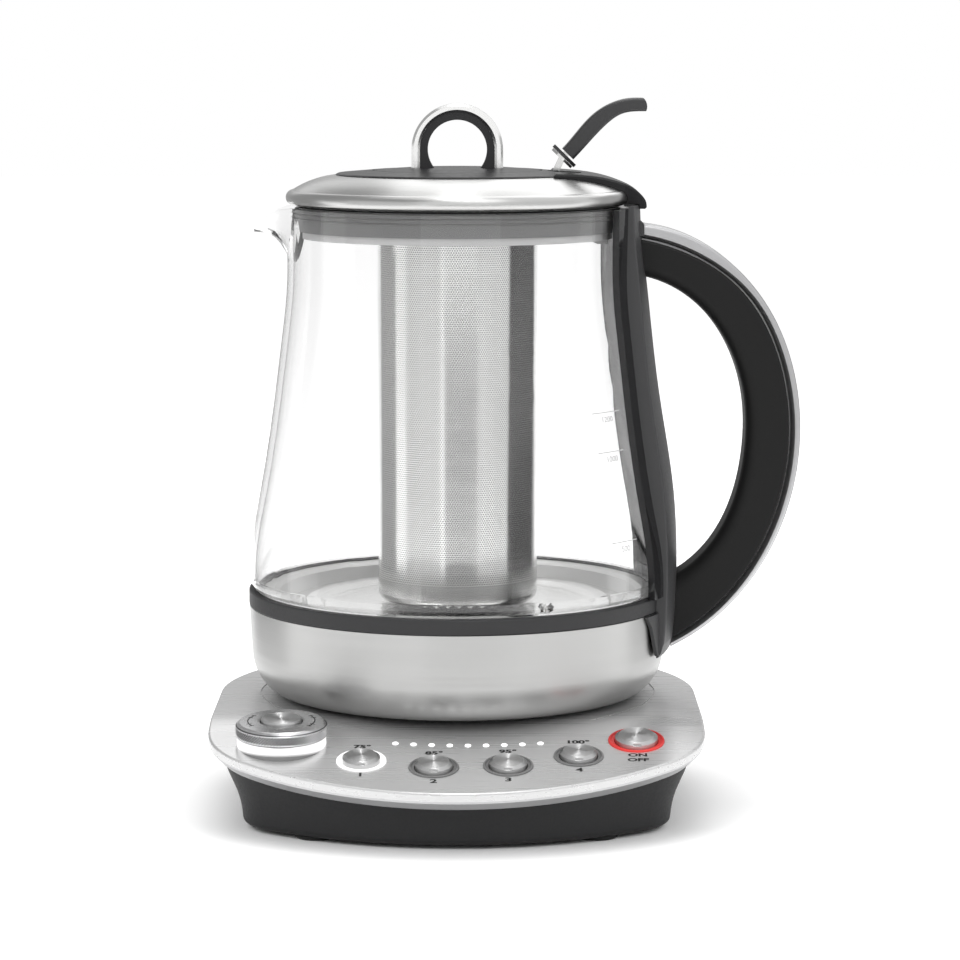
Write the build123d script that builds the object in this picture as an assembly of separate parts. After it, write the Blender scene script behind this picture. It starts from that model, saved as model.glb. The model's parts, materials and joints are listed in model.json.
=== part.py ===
from build123d import *
import math
import os

# Automatic tea maker: a glass kettle with a lift-out infuser, on a powered base with a
# dial and push buttons on its sloping front. Millimetres and degrees.
#
# Everything is modelled about the kettle's upright axis: +X towards the handle, +Y to the
# back, +Z up. The base stands on Z = 0; kettle pieces are modelled with Z = 0 on the
# base plate and are lifted there at the end. The last step moves the whole model so that
# its origin is at the middle of its bounding box, on the table.

# ------------------------------------------------------------------ driving dimensions

# Base
PLATE_TOP = 38.0  # table to the flat top of the base
BASE_HALF_WIDTH = 91.2  # also the radius of the round back
FRONT_ARC_R = 127.7  # bow of the front edge
FRONT_ARC_Y = 8.8  # centre of that bow
CORNER_R = 34.0
PANEL_BEND_Y = -56.0  # from here the top slopes down to the front
PANEL_BEND_R = 60.0
PANEL_SLOPE = 13.0
PLATE_T = 1.0
PLATE_SKIRT = 3.0  # depth of the plate's folded edge
TRIM_H = 4.5
TRIM_BEVEL = 3.6
SHELL_WALL = 3.2
SHELL_TOP_INSET = 5.0  # housing under the plate's edge
SHELL_FOOT_INSET = 12.9
SHELL_FOOT_ROUND = 2.6
FLOOR_GAP = 1.5  # housing to table
COVER_T = 2.2
FOOT_R = 7.5
FOOT_EDGE = 40.2  # foot to the base's side
FOOT_PEG_R = 2.5
BOARD_T = 1.6
BOARD_DEPTH = 10.5  # panel surface to the control board's top
BOARD_POST_H = 5.0  # bottom cover to the power board
GLAND_Z = 16.0
GLAND_INSET = 9.6  # cord bush to the base's back
GLAND_NECK_R = 6.0
GLAND_FLANGE_R = 8.0
GLAND_HOLE_R = 3.5
GLAND_FLANGE_LOW = 1.2  # outer flange, from the wall's face out

# Controls
CONTROL_ARC_R = 106.5  # all controls lie on one arc, about the front bow's centre
DIAL_ANGLE = -36.7  # angles from straight ahead, + to the right
BUTTON_ANGLE = -18.7
BUTTON_STEP = 14.4
BUTTON_COUNT = 4
POWER_ANGLE = 38.0
DIAL_TILT = 5.0  # the dial stands nearly level, on a ring that takes up the panel's slope
DIAL_R = 16.7
DIAL_H = 5.4
DIAL_RING_PROUD = 2.4  # dial's ring above the panel, at its middle
DIAL_FLUTES = 60
DIAL_BUTTON_R = 7.4
DIAL_STEM_R = 1.8
SHAFT_R = 4.0
BUTTON_CAP_R = 6.8
POWER_CAP_R = 7.8
RING_WIDTH = 2.2  # light ring between a cap and the plate
RING_FLANGE = 1.2  # light rings are this much wider under the plate
RING_PROUD = 0.6  # light rings above the panel
RING_RIM = 0.6
CAP_PROUD = 2.4  # button caps above the panel
CAP_BEVEL = 1.2
CAP_DISH = 0.35
BUTTON_TRAVEL = 1.2
SWITCH_H = 4.0
LED_COUNT = 9
LED_PITCH = 6.6
LED_ARC_R = 190.0
LED_MIDDLE = (4.2, -79.3)
LED_R = 1.1

# Kettle, heights above the base plate
JUG_R = 79.8  # glass, widest
NECK_R = 64.5
GLASS_T = 2.4
JUG_TOP = 186.4
BELLY_H = 46.0  # height of the widest point
NECK_DEPTH = 21.4  # straight neck, from the rim down
GLASS_FOOT_H = 37.2
COLLAR_LOW = 34.9
COLLAR_TOP = 41.0
STEEL_T = 0.8
STEEL_LOW = 1.2  # steel body's floor above the base plate
FLOOR_H = 34.8  # inside floor of the jug
FLOOR_T = 1.2
SPOUT_REACH = 12.5  # beyond the neck
PAD_ANGLE = 26.5  # half of the saddle's hold on the glass
PAD_T = 2.8
STRAP_HALF_TOP = 20.5
STRAP_HALF_LOW = 28.5
STRAP_FOOT_Z = 17.6
HANDLE_REACH = 130.2  # kettle's axis to the back of the handle
GRIP_HALF_W = 11.0
TRIM_HALF_W = 10.4
TRIM_GROOVE = 0.6  # shadow line between grip and trim
TRIM_FACET = 1.6
PROBE_R = 2.5
PROBE_ANGLE = -19.0
ELEMENT_R = 3.4

# Lid, heights from the jug's rim
STRAP_RISE = 1.0
DOME_RISE = 0.8
DOME_H = 11.3
COVER_RISE = 14.6  # rim to the black middle's top
COVER_BAND = 13.7  # width of the black middle round the infuser's hole
CROWN = 0.8  # the middle falls by this much from the arch to the hole's edge
PLUG_DEPTH = 8.9
CLEAR_RING_H = 2.7
ARM_HALF_W = 11.8
LID_SCREW_R = 1.2

# Infuser
BASKET_R = 30.4
BASKET_T = 0.8
BASKET_LOW = 36.4
BASKET_CUP_H = 8.5
FLANGE_T = 1.2
CAP_T = 3.3
HOOP_R = 17.3
HOOP_T = 3.2
HOOP_RISE = 6.9  # lid's top to the middle of the arch
HOOP_HALF_W = 4.5
LINER_HOLE_R = 11.2

# Lever on the lid
LEVER_T = 3.0
LEVER_SLOT_W = 6.4
LEVER_SLOPE = 45.7
LEVER_GRIP_HALF_W = 4.5
LEVER_DROP = 3.2  # lid's top down to the pin
PIN_R = 1.0

# Power connection and screws
CONNECTOR_R = 12.0
CONNECTOR_H = 9.0
CONNECTOR_HOLE_R = 15.5
SOCKET_R = 16.5
SOCKET_PIN_R = 2.0
SCREW_R = 1.5
SCREW_HEAD_R = 3.0
SCREW_EDGE = 5.0  # base screws from the housing's inner wall
SCREW_POST_H = 12.0

# Clearances
PLAY = 0.3  # between faces that slide past each other
FIT = 0.06  # shaft in its hole
SEAT = 0.1  # between fixed pieces

# ------------------------------------------------------------------ worked-out values

REACH_FRONT = FRONT_ARC_R - FRONT_ARC_Y
AXIS_X = (BASE_HALF_WIDTH - HANDLE_REACH) / 2
AXIS_Y = (REACH_FRONT - BASE_HALF_WIDTH) / 2
TRIM_TOP = PLATE_SKIRT
TRIM_LOW = PLATE_SKIRT + TRIM_H
TRIM_INSET = SHELL_TOP_INSET + SHELL_WALL + 2.0
COVER_Z = FLOOR_GAP
COVER_TOP_Z = COVER_Z + COVER_T
SCREW_POST_R = SCREW_EDGE + 1.2
SEAT_FRAME_R = BASE_HALF_WIDTH - 28.0
FOOT_X = BASE_HALF_WIDTH - FOOT_EDGE
FOOT_FRONT_Y = FOOT_EDGE - REACH_FRONT - 5.3
FOOT_BACK_Y = BASE_HALF_WIDTH - FOOT_EDGE - 7.0
BUTTON_RING_R = BUTTON_CAP_R + RING_WIDTH
POWER_RING_R = POWER_CAP_R + RING_WIDTH + 0.25
DIAL_RING_R = DIAL_R - 0.5
DIAL_LOW = DIAL_RING_PROUD + PLAY

NECK_H = JUG_TOP - NECK_DEPTH
COLLAR_R = JUG_R + 0.2
GLASS_FOOT_R = JUG_R - 2.5
STEEL_R = COLLAR_R - 0.1
STEEL_FLOOR_R = COLLAR_R - 14.0
STEEL_HOLE_R = STEEL_FLOOR_R - 4.0
SEAT_GROOVE_R = COLLAR_R - 4.5
ELEMENT_RING_R = STEEL_HOLE_R - 18.0
KETTLE_SCREW_REACH = STEEL_HOLE_R - 7.5
PLATE_EDGE_R = STEEL_FLOOR_R - SEAT
SPOUT_TIP_X = NECK_R + SPOUT_REACH

STRAP_TOP = JUG_TOP + STRAP_RISE
STRAP_TOP_R = NECK_R + 4.7
STRAP_LOW_R = COLLAR_R + 2.8
WING_R = COLLAR_R + 1.2

DOME_R = NECK_R + 0.5
DOME_LOW = JUG_TOP + DOME_RISE
DOME_TOP = DOME_LOW + DOME_H
COVER_TOP = JUG_TOP + COVER_RISE
LID_HOLE_R = BASKET_R + 1.9
COVER_R = LID_HOLE_R + COVER_BAND
COVER_LOW = COVER_TOP - 4.1
PLUG_R = NECK_R - 5.0
PLUG_LOW = JUG_TOP - PLUG_DEPTH
SEAL_R = NECK_R - 3.5
SEAL_RIB_R = NECK_R - GLASS_T - 0.4
CLEAR_RING_LOW = PLUG_LOW - CLEAR_RING_H
CAP_R = BASKET_R + 1.5
BASKET_FLANGE_H = COVER_TOP - CAP_T - FLANGE_T
HOOP_Z = COVER_TOP + HOOP_RISE
LEVER_PIVOT = (LID_HOLE_R + 4.1, COVER_TOP - LEVER_DROP)
LEVER_KNEE = (LEVER_PIVOT[0] + 3.2, LEVER_PIVOT[1] + 6.8)

FAR = 400.0
UP = (Align.CENTER, Align.CENTER, Align.MIN)

# ------------------------------------------------------------------ small helpers


def disc(radius, low, high):
    """Upright cylinder between two heights."""
    return Pos(0, 0, low) * Cylinder(radius, high - low, align=UP)


def ring(outer, inner, low, high):
    """Upright ring between two heights."""
    return disc(outer, low, high) - disc(inner, low - 1, high + 1)


def turned(*points):
    """Solid of revolution about Z from a closed outline of (radius, height) points."""
    return revolve(Plane.XZ * make_face(Polyline(*points, close=True)), Axis.Z)


def turned_edges(*edges):
    """Solid of revolution about Z from edges drawn as (radius, height)."""
    return revolve(Plane.XZ * make_face(edges), Axis.Z)


def side_plate(face, half_width):
    """Plate of even width from a face drawn as (X, Z)."""
    return extrude(Plane.XZ * face, half_width, both=True)


def wedge(half_angle):
    """Upright wedge about +X, for cutting a sector."""
    spread = FAR * math.tan(math.radians(half_angle))
    face = make_face(Polyline((0, 0), (FAR, -spread), (FAR, spread), close=True))
    return Pos(0, 0, -FAR / 2) * extrude(face, FAR)


def edges_near(shape, test):
    """Edges whose middle point passes the test."""
    return [edge for edge in shape.edges() if test(edge @ 0.5)]


# ------------------------------------------------------------------ base: plan and panel


def outline(inset=0.0):
    """Plan of the base: round back, straight sides, bowed front, round corners."""
    half = BASE_HALF_WIDTH - inset
    corner_x = BASE_HALF_WIDTH - CORNER_R
    reach = FRONT_ARC_R - CORNER_R
    corner_y = FRONT_ARC_Y - math.sqrt(reach**2 - corner_x**2)
    turn = math.degrees(math.asin(corner_x / reach))
    return make_face(
        [
            CenterArc((0, 0), half, 0, 180),
            Line((-half, 0), (-half, corner_y)),
            CenterArc((-corner_x, corner_y), CORNER_R - inset, 180, 90 - turn),
            CenterArc((0, FRONT_ARC_Y), FRONT_ARC_R - inset, 270 - turn, 2 * turn),
            CenterArc((corner_x, corner_y), CORNER_R - inset, 270 + turn, 90 - turn),
            Line((half, corner_y), (half, 0)),
        ]
    )


def prism(inset=0.0):
    """The plan, extruded past everything."""
    return Pos(0, 0, -10) * extrude(outline(inset), PLATE_TOP + 20)


def inside_outline(point, inset):
    """How far a point lies inside the plan's edge, less the inset."""
    corner_x = BASE_HALF_WIDTH - CORNER_R
    corner_y = FRONT_ARC_Y - math.sqrt((FRONT_ARC_R - CORNER_R) ** 2 - corner_x**2)
    x, y = abs(point.X), point.Y
    if y > 0:
        depth = BASE_HALF_WIDTH - math.hypot(x, y)
    elif y > corner_y:
        depth = BASE_HALF_WIDTH - x
    else:
        front = FRONT_ARC_R - math.hypot(x, y - FRONT_ARC_Y)
        corner = CORNER_R - math.hypot(x - corner_x, y - corner_y)
        beyond = (x / (FRONT_ARC_Y - y)) > corner_x / (FRONT_ARC_Y - corner_y)
        depth = corner if x > corner_x and beyond else front
    return depth - inset


def panel_z(y, drop=0.0):
    """Height of the base's top at a depth y, without the bend's rounding."""
    run = max(0.0, PANEL_BEND_Y - y)
    return PLATE_TOP - drop - run * math.tan(math.radians(PANEL_SLOPE))


def panel_band(drop_top, drop_low):
    """Layer that follows the base's top, between two depths below it."""
    back, front = FAR / 2, -FAR / 2

    def line(drop):
        points = [(back, panel_z(back, drop)), (PANEL_BEND_Y, panel_z(PANEL_BEND_Y, drop))]
        return FilletPolyline(*points, (front, panel_z(front, drop)), radius=PANEL_BEND_R)

    upper, lower = line(drop_top), line(drop_low)
    ends = [Line(upper @ 0, lower @ 0), Line(upper @ 1, lower @ 1)]
    return extrude(Plane.YZ * make_face([upper, lower, *ends]), FAR / 2, both=True)


def on_panel(angle, radius=CONTROL_ARC_R):
    """Place on the sloping panel, with its Z along the panel's normal."""
    x = radius * math.sin(math.radians(angle))
    y = FRONT_ARC_Y - radius * math.cos(math.radians(angle))
    return Pos(x, y, panel_z(y)) * Rot(PANEL_SLOPE, 0, 0)


def dial_place():
    """Place of the dial, with its Z along the dial's own axis."""
    x = CONTROL_ARC_R * math.sin(math.radians(DIAL_ANGLE))
    y = FRONT_ARC_Y - CONTROL_ARC_R * math.cos(math.radians(DIAL_ANGLE))
    return Pos(x, y, panel_z(y)) * Rot(DIAL_TILT, 0, 0)


def led_places():
    """Places of the row of lights, on a shallow arc."""
    middle_x, front_y = LED_MIDDLE
    places = []
    for index in range(LED_COUNT):
        x = (index - (LED_COUNT - 1) / 2) * LED_PITCH
        y = front_y + LED_ARC_R - math.sqrt(LED_ARC_R**2 - x**2)
        places.append(Pos(middle_x + x, y, panel_z(y)) * Rot(PANEL_SLOPE, 0, 0))
    return places


def button_places():
    """Places of the four temperature buttons, from left to right."""
    return [on_panel(BUTTON_ANGLE + BUTTON_STEP * index) for index in range(BUTTON_COUNT)]


# ------------------------------------------------------------------ base: fixed pieces


def make_top_plate():
    """Brushed steel top with a folded edge, a seat groove and holes for the controls."""
    sheet = panel_band(0, PLATE_T) & prism()
    skirt = (panel_band(PLATE_T, PLATE_SKIRT) & prism()) - prism(PLATE_T)
    plate = sheet + skirt
    rim = edges_near(
        plate,
        lambda p: abs(inside_outline(p, 0)) < 0.05 and p.Z > panel_z(p.Y) - 0.6,
    )
    plate = fillet(rim, 0.8)
    plate -= ring(SEAT_GROOVE_R + 0.4, SEAT_GROOVE_R - 0.4, PLATE_TOP - 0.5, PLATE_TOP + 1)
    plate -= disc(CONNECTOR_HOLE_R, 0, PLATE_TOP + 5)
    plate -= dial_place() * disc(DIAL_RING_R + SEAT, -10, 8)
    plate -= on_panel(POWER_ANGLE) * disc(POWER_RING_R + SEAT, -8, 5)
    for place in button_places():
        plate -= place * disc(BUTTON_RING_R + SEAT, -8, 5)
    for place in led_places():
        plate -= place * disc(LED_R + SEAT, -8, 5)
    return plate


def make_trim_ring():
    """Silver band under the plate's edge, bevelled inwards, with a ledge for the plate."""
    band = (panel_band(TRIM_TOP, TRIM_LOW) & prism(0.4)) - prism(TRIM_INSET)
    low = edges_near(
        band,
        lambda p: abs(inside_outline(p, 0.4)) < 0.05 and p.Z < panel_z(p.Y, TRIM_LOW) + 0.6,
    )
    band = chamfer(low, TRIM_BEVEL)
    ledge = (panel_band(PLATE_T, TRIM_TOP) & prism(PLATE_T + SEAT)) - prism(TRIM_INSET)
    trim = band + ledge
    lean = TRIM_LOW * math.tan(math.radians(PANEL_SLOPE - DIAL_TILT))
    for angle, radius in ((DIAL_ANGLE, DIAL_RING_R + lean), (POWER_ANGLE, POWER_RING_R)):
        trim -= on_panel(angle) * disc(radius + RING_FLANGE + PLAY, -TRIM_LOW + 1.5, 5)
    return trim


def housing_form(extra):
    """Housing as a solid: it flares out from the table to the plate along a hollow curve."""
    top_z = PLATE_TOP - TRIM_LOW + 4
    span = SHELL_FOOT_INSET - SHELL_TOP_INSET
    sections = []
    for share, draw in ((0.0, 1.0), (0.2, 0.89), (0.38, 0.68), (0.6, 0.28), (0.76, 0.07), (1.0, 0.0)):
        height = FLOOR_GAP + share * (top_z - FLOOR_GAP)
        inset = SHELL_TOP_INSET + draw * span + extra
        sections.append(Pos(0, 0, height) * outline(inset))
    return loft(sections)


def make_base_shell():
    """Black housing under the plate, open at the top, with screw posts and a gland hole."""
    form = housing_form(0)
    form = fillet(edges_near(form, lambda p: p.Z < FLOOR_GAP + 0.01), SHELL_FOOT_ROUND)
    shell = form - housing_form(SHELL_WALL)
    shell -= disc(FAR / 2, FLOOR_GAP - 1, FLOOR_GAP + 0.01)
    for place in screw_places():
        post = place * disc(SCREW_POST_R, COVER_TOP_Z + SEAT, COVER_TOP_Z + SCREW_POST_H)
        shell += post & housing_form(SHELL_WALL / 2)
        shell -= place * disc(SCREW_R, 0, COVER_TOP_Z + SCREW_POST_H - 2)
    shell -= panel_band(-20, TRIM_LOW + SEAT / 2)
    shell -= gland_place() * disc(GLAND_NECK_R + SEAT, -20, 20)
    return shell - gland_place() * disc(GLAND_FLANGE_R + SEAT, GLAND_FLANGE_LOW - SEAT, 20)


def screw_places():
    """Places of the base's four screws, just inside the housing's wall."""
    reach = BASE_HALF_WIDTH - SHELL_FOOT_INSET - SHELL_WALL - SCREW_EDGE
    back = [Rot(0, 0, angle) * Pos(reach, 0, 0) for angle in (20, 160)]
    return back + [Pos(x, PANEL_BEND_Y, 0) for x in (-reach, reach)]


def foot_places():
    """Places of the four feet, under the cover."""
    return [Pos(x, y, 0) for x in (-FOOT_X, FOOT_X) for y in (FOOT_FRONT_Y, FOOT_BACK_Y)]


def make_bottom_cover():
    """Flat cover that closes the housing, with air slots, foot holes and screw holes."""
    cover = Pos(0, 0, COVER_Z) * extrude(outline(SHELL_FOOT_INSET + SHELL_WALL + PLAY), COVER_T)
    for place in foot_places():
        cover -= place * disc(FOOT_PEG_R + SEAT, 0, 10)
    for place in screw_places():
        cover -= place * disc(SCREW_R + PLAY, 0, 10)
        cover -= place * disc(SCREW_HEAD_R + PLAY, 0, COVER_Z + 1.2)
    for index in range(7):
        slot = Box(26, 2.4, 10)
        cover -= Pos(0, 14 + 7 * (index - 3), COVER_Z) * slot
    return cover


def make_feet():
    """Four rubber feet, each with a peg through the cover."""
    foot = disc(FOOT_R, 0, COVER_Z) + disc(FOOT_PEG_R, 0, COVER_TOP_Z)
    foot = chamfer(edges_near(foot, lambda p: p.Z < 0.01), 0.5)
    return [place * foot for place in foot_places()]


def make_base_screws():
    """Four screws from below into the housing's posts."""
    screw = disc(SCREW_HEAD_R, COVER_Z + 0.2, COVER_Z + 1.2)
    screw += disc(SCREW_R - SEAT, COVER_Z + 1.2, COVER_TOP_Z + SCREW_POST_H - 2.5)
    return [place * screw for place in screw_places()]


def make_kettle_seat():
    """Plastic frame that carries the plate's middle down to the bottom cover."""
    low, high = COVER_TOP_Z, PLATE_TOP - PLATE_T
    frame = ring(SEAT_FRAME_R, CONNECTOR_HOLE_R + 2, high - 3, high)
    frame += ring(SEAT_FRAME_R, SEAT_FRAME_R - 2.5, low, high)
    frame += ring(CONNECTOR_HOLE_R + 4.5, CONNECTOR_HOLE_R + 2, high - 10, high)
    for index in range(6):
        rib = Pos((SEAT_FRAME_R + CONNECTOR_HOLE_R) / 2 + 1, 0, high - 5)
        span = SEAT_FRAME_R - CONNECTOR_HOLE_R - 4
        frame += Rot(0, 0, 60 * index + 30) * rib * Box(span, 2, 6)
    for angle in (90, 270):
        gap = Pos(SEAT_FRAME_R, 0, low + 8) * Box(20, 34, 16)
        frame -= Rot(0, 0, angle) * gap
    return frame - panel_band(-20, PLATE_T)


def make_base_connector():
    """Round power connector that stands up through the plate."""
    body = disc(CONNECTOR_R, PLATE_TOP - 9, PLATE_TOP + CONNECTOR_H)
    body = chamfer(edges_near(body, lambda p: p.Z > PLATE_TOP + CONNECTOR_H - 0.1), 1.0)
    body += disc(CONNECTOR_HOLE_R - SEAT, PLATE_TOP - 9, PLATE_TOP + 0.3)
    body += disc(CONNECTOR_HOLE_R + 2 - SEAT, PLATE_TOP - 9, PLATE_TOP - PLATE_T)
    body -= disc(SOCKET_PIN_R + 0.6, PLATE_TOP - 4, PLATE_TOP + CONNECTOR_H + 1)
    for radius in (6.0, 9.2):
        body -= ring(radius + 0.7, radius - 0.7, PLATE_TOP - 2, PLATE_TOP + CONNECTOR_H + 1)
    return body


def panel_box(width, depth, height, forward, low):
    """Box laid parallel to the panel, forward of the kettle's axis, at a height over it."""
    place = Pos(0, -forward, panel_z(-forward)) * Rot(PANEL_SLOPE, 0, 0)
    return place * Pos(0, 0, low) * Box(width, depth, height, align=UP)


def make_control_board():
    """Circuit board under the sloping panel, cut to the housing's plan."""
    board = panel_box(150, 36, BOARD_T, 88, -BOARD_DEPTH - BOARD_T)
    board = board & prism(SHELL_FOOT_INSET + SHELL_WALL - 1)
    return board - (dial_place() * disc(SHAFT_R + PLAY, -30, 5))


def make_power_board():
    """Mains board under the kettle's seat, on four posts."""
    low = COVER_TOP_Z + BOARD_POST_H
    board = Pos(0, 4, low) * Box(74, 60, BOARD_T, align=UP)
    for x in (-32, 32):
        for y in (-21, 29):
            board += Pos(x, y, 0) * disc(2.5, COVER_TOP_Z, low)
    return board


def make_power_relay():
    """Relay that switches the heater."""
    return Pos(-20, 0, COVER_TOP_Z + BOARD_POST_H + BOARD_T) * Box(19, 15, 12, align=UP)


def make_transformer():
    """Small low-voltage supply."""
    place = Pos(20, 4, COVER_TOP_Z + BOARD_POST_H + BOARD_T)
    return place * Box(22, 26, 9, align=UP) + place * Box(26, 12, 9, align=UP)


def gland_place():
    """Place of the cord gland in the back wall, with its Z pointing out."""
    return Pos(0, BASE_HALF_WIDTH - GLAND_INSET, GLAND_Z) * Rot(-90, 0, 0)


def make_cord_gland():
    """Rubber bush for the mains cord, in the back of the housing."""
    bush = disc(GLAND_NECK_R, -8, 5)
    bush += disc(GLAND_FLANGE_R, GLAND_FLANGE_LOW, GLAND_FLANGE_LOW + 2.2)
    bush += disc(GLAND_FLANGE_R, -8, -6)
    return gland_place() * (bush - disc(GLAND_HOLE_R, -10, 10))


def make_light_pipes():
    """Row of nine light pipes on one strip under the plate."""
    pins = led_places()
    reach = BOARD_DEPTH - 3
    bar = panel_box(LED_PITCH * LED_COUNT + 4, 5, 1.6, -LED_MIDDLE[1], -PLATE_T - 2.0)
    pipes = Pos(LED_MIDDLE[0], 0, 0) * bar
    for place in pins:
        pipes += place * disc(LED_R, -reach, 0.1)
    return pipes


def light_ring(outer, inner):
    """Clear ring with a thin raised rim, hollow towards its middle, and a flange under the plate."""
    low = -PLATE_T - 2.5
    return turned(
        (inner, low),
        (outer + RING_FLANGE, low),
        (outer + RING_FLANGE, -PLATE_T - SEAT),
        (outer, -PLATE_T - SEAT),
        (outer, RING_PROUD - 0.2),
        (outer - 0.2, RING_PROUD),
        (outer - RING_RIM, RING_PROUD),
        (outer - RING_RIM - 0.3, 0.1),
        (inner, 0.0),
    )


def make_button_rings():
    """Four light rings round the temperature buttons."""
    shape = light_ring(BUTTON_RING_R, BUTTON_CAP_R + PLAY)
    return [place * shape for place in button_places()]


def make_power_ring():
    """Red light ring round the power button."""
    return on_panel(POWER_ANGLE) * light_ring(POWER_RING_R, POWER_CAP_R + PLAY)


def make_dial_ring_light():
    """White light ring under the dial: square to the dial above, flush with the slope below."""
    depth = PLATE_T + 2.5
    inner = SHAFT_R + 4
    body = turned(
        (inner, -12),
        (DIAL_RING_R, -12),
        (DIAL_RING_R, DIAL_RING_PROUD - 0.2),
        (DIAL_RING_R - 0.2, DIAL_RING_PROUD),
        (DIAL_RING_R - RING_RIM, DIAL_RING_PROUD),
        (DIAL_RING_R - RING_RIM - 0.3, 0.1),
        (inner, 0.0),
    )
    flange = dial_place() * ring(DIAL_RING_R + RING_FLANGE, inner, -12, 8)
    return (dial_place() * body & panel_band(-20, depth)) + (flange & panel_band(PLATE_T + SEAT, depth))


def make_tact_switches():
    """Small switches on the board, one under each button."""
    body = Pos(0, 0, -BOARD_DEPTH) * Box(6, 6, SWITCH_H - 0.8, align=UP)
    body += disc(1.7, -BOARD_DEPTH, -BOARD_DEPTH + SWITCH_H)
    places = [*button_places(), on_panel(POWER_ANGLE)]
    return [place * body for place in places]


def make_dial_encoder():
    """Rotary encoder on the board, round the dial's shaft, with the dial button's switch."""
    body = Pos(0, 0, -BOARD_DEPTH - 3) * Box(15, 15, 7.5, align=UP)
    body -= disc(SHAFT_R + FIT, -BOARD_DEPTH + 1.5, 0)
    body += disc(1.5, -BOARD_DEPTH + 1.5, -BOARD_DEPTH + 2.0)
    over_board = on_panel(DIAL_ANGLE) * Pos(0, 0, -BOARD_DEPTH) * Box(40, 40, 20, align=UP)
    return dial_place() * body & over_board


# ------------------------------------------------------------------ controls that move


def button_cap(radius):
    """Dished metal cap with a bevelled edge, a notch at the front, a flange and a stem."""
    low = -PLATE_T - 4.0
    flat_r = radius - CAP_BEVEL
    cap = turned(
        (0, low),
        (radius + 0.9, low),
        (radius + 0.9, low + 1.5),
        (radius, low + 1.5),
        (radius, CAP_PROUD - 0.9),
        (flat_r, CAP_PROUD),
        (0, CAP_PROUD),
    )
    dish_r = (flat_r**2 + CAP_DISH**2) / (2 * CAP_DISH)
    cap -= Pos(0, 0, CAP_PROUD - CAP_DISH + dish_r) * Sphere(dish_r)
    stem_low = -BOARD_DEPTH + SWITCH_H + BUTTON_TRAVEL + SEAT
    cap += disc(2.0, stem_low, low + 1)
    notch = Pos(0, -radius, CAP_PROUD - 0.5) * Box(3.0, 1.6, 1.4)
    return cap - notch


def make_buttons():
    """Four temperature buttons, from left to right."""
    cap = button_cap(BUTTON_CAP_R)
    return [place * cap for place in button_places()]


def make_power_button():
    """On and off button."""
    return on_panel(POWER_ANGLE) * button_cap(POWER_CAP_R)


def make_dial():
    """Knob with a fluted side, a sloping shoulder and a well for its button."""
    low = DIAL_LOW
    top = low + DIAL_H
    knob = turned(
        (SHAFT_R, low),
        (DIAL_R - 0.5, low),
        (DIAL_R, low + 0.5),
        (DIAL_R, top - 1.2),
        (DIAL_R - 0.9, top - 0.6),
        (DIAL_R - 1.4, top),
        (DIAL_BUTTON_R + 1.4, top + 0.3),
        (DIAL_BUTTON_R + PLAY, top - 0.4),
        (DIAL_BUTTON_R + PLAY, low + 2.2),
        (SHAFT_R, low + 2.2),
    )
    flute = Pos(DIAL_R + 0.35, 0, low + 0.8) * Cylinder(0.6, top - low - 2.2, align=UP)
    flutes = [Rot(0, 0, 360 / DIAL_FLUTES * index) * flute for index in range(DIAL_FLUTES)]
    return dial_place() * (knob - flutes)


def make_dial_shaft():
    """Hollow shaft from the dial down into the encoder."""
    shaft = disc(SHAFT_R, -BOARD_DEPTH + 1.8, DIAL_LOW + 2.2)
    shaft -= disc(DIAL_STEM_R + FIT, -30, 30)
    return dial_place() * shaft


def make_dial_button():
    """Dished metal button in the dial's well, with a stem through the shaft."""
    top = DIAL_LOW + DIAL_H + 1.4
    low = DIAL_LOW + 2.2 + BUTTON_TRAVEL + 0.1
    button = disc(DIAL_BUTTON_R, low, top)
    button = fillet(edges_near(button, lambda p: p.Z > top - 0.01), 0.9)
    dish_r = 30.0
    sag = dish_r - math.sqrt(dish_r**2 - (DIAL_BUTTON_R - 1.3) ** 2)
    button -= Pos(0, 0, top - sag + dish_r) * Sphere(dish_r)
    button += disc(DIAL_STEM_R, -BOARD_DEPTH + 2.0 + BUTTON_TRAVEL + 0.1, low + 0.5)
    return dial_place() * button


# ------------------------------------------------------------------ kettle


def wall_point(radius_share, height_share, inset=0.0):
    """(radius, height) on a net from the neck (0, 1) to the belly (1, 0)."""
    radius = NECK_R + radius_share * (JUG_R - NECK_R) - inset
    return (radius, BELLY_H + height_share * (NECK_H - BELLY_H))


def jug_wall(inset):
    """Side of the jug as one curve, from its widest point up to the neck."""
    shares = ((1.0, 0.0), (0.739, 0.252), (0.366, 0.546), (0.131, 0.782), (0.0, 1.0))
    points = [wall_point(radius, height, inset) for radius, height in shares]
    return Spline(*points, tangents=((0, 1), (0, 1)))


def jug_form(inset, foot_r, low, top):
    """Jug as a solid of revolution, its wall set in from the outside."""
    wall = jug_wall(inset)
    shoulder = Spline(
        (foot_r, COLLAR_TOP + SEAT),
        (JUG_R - inset - 0.7, COLLAR_TOP + 2.2),
        (JUG_R - inset, BELLY_H),
        tangents=((1, 0.5), (0, 1)),
    )
    return turned_edges(
        Line((0, low), (foot_r, low)),
        Line((foot_r, low), (foot_r, COLLAR_TOP + SEAT)),
        shoulder,
        wall,
        Line((NECK_R - inset, NECK_H), (NECK_R - inset, top)),
        Line((NECK_R - inset, top), (0, top)),
        Line((0, top), (0, low)),
    )


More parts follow.
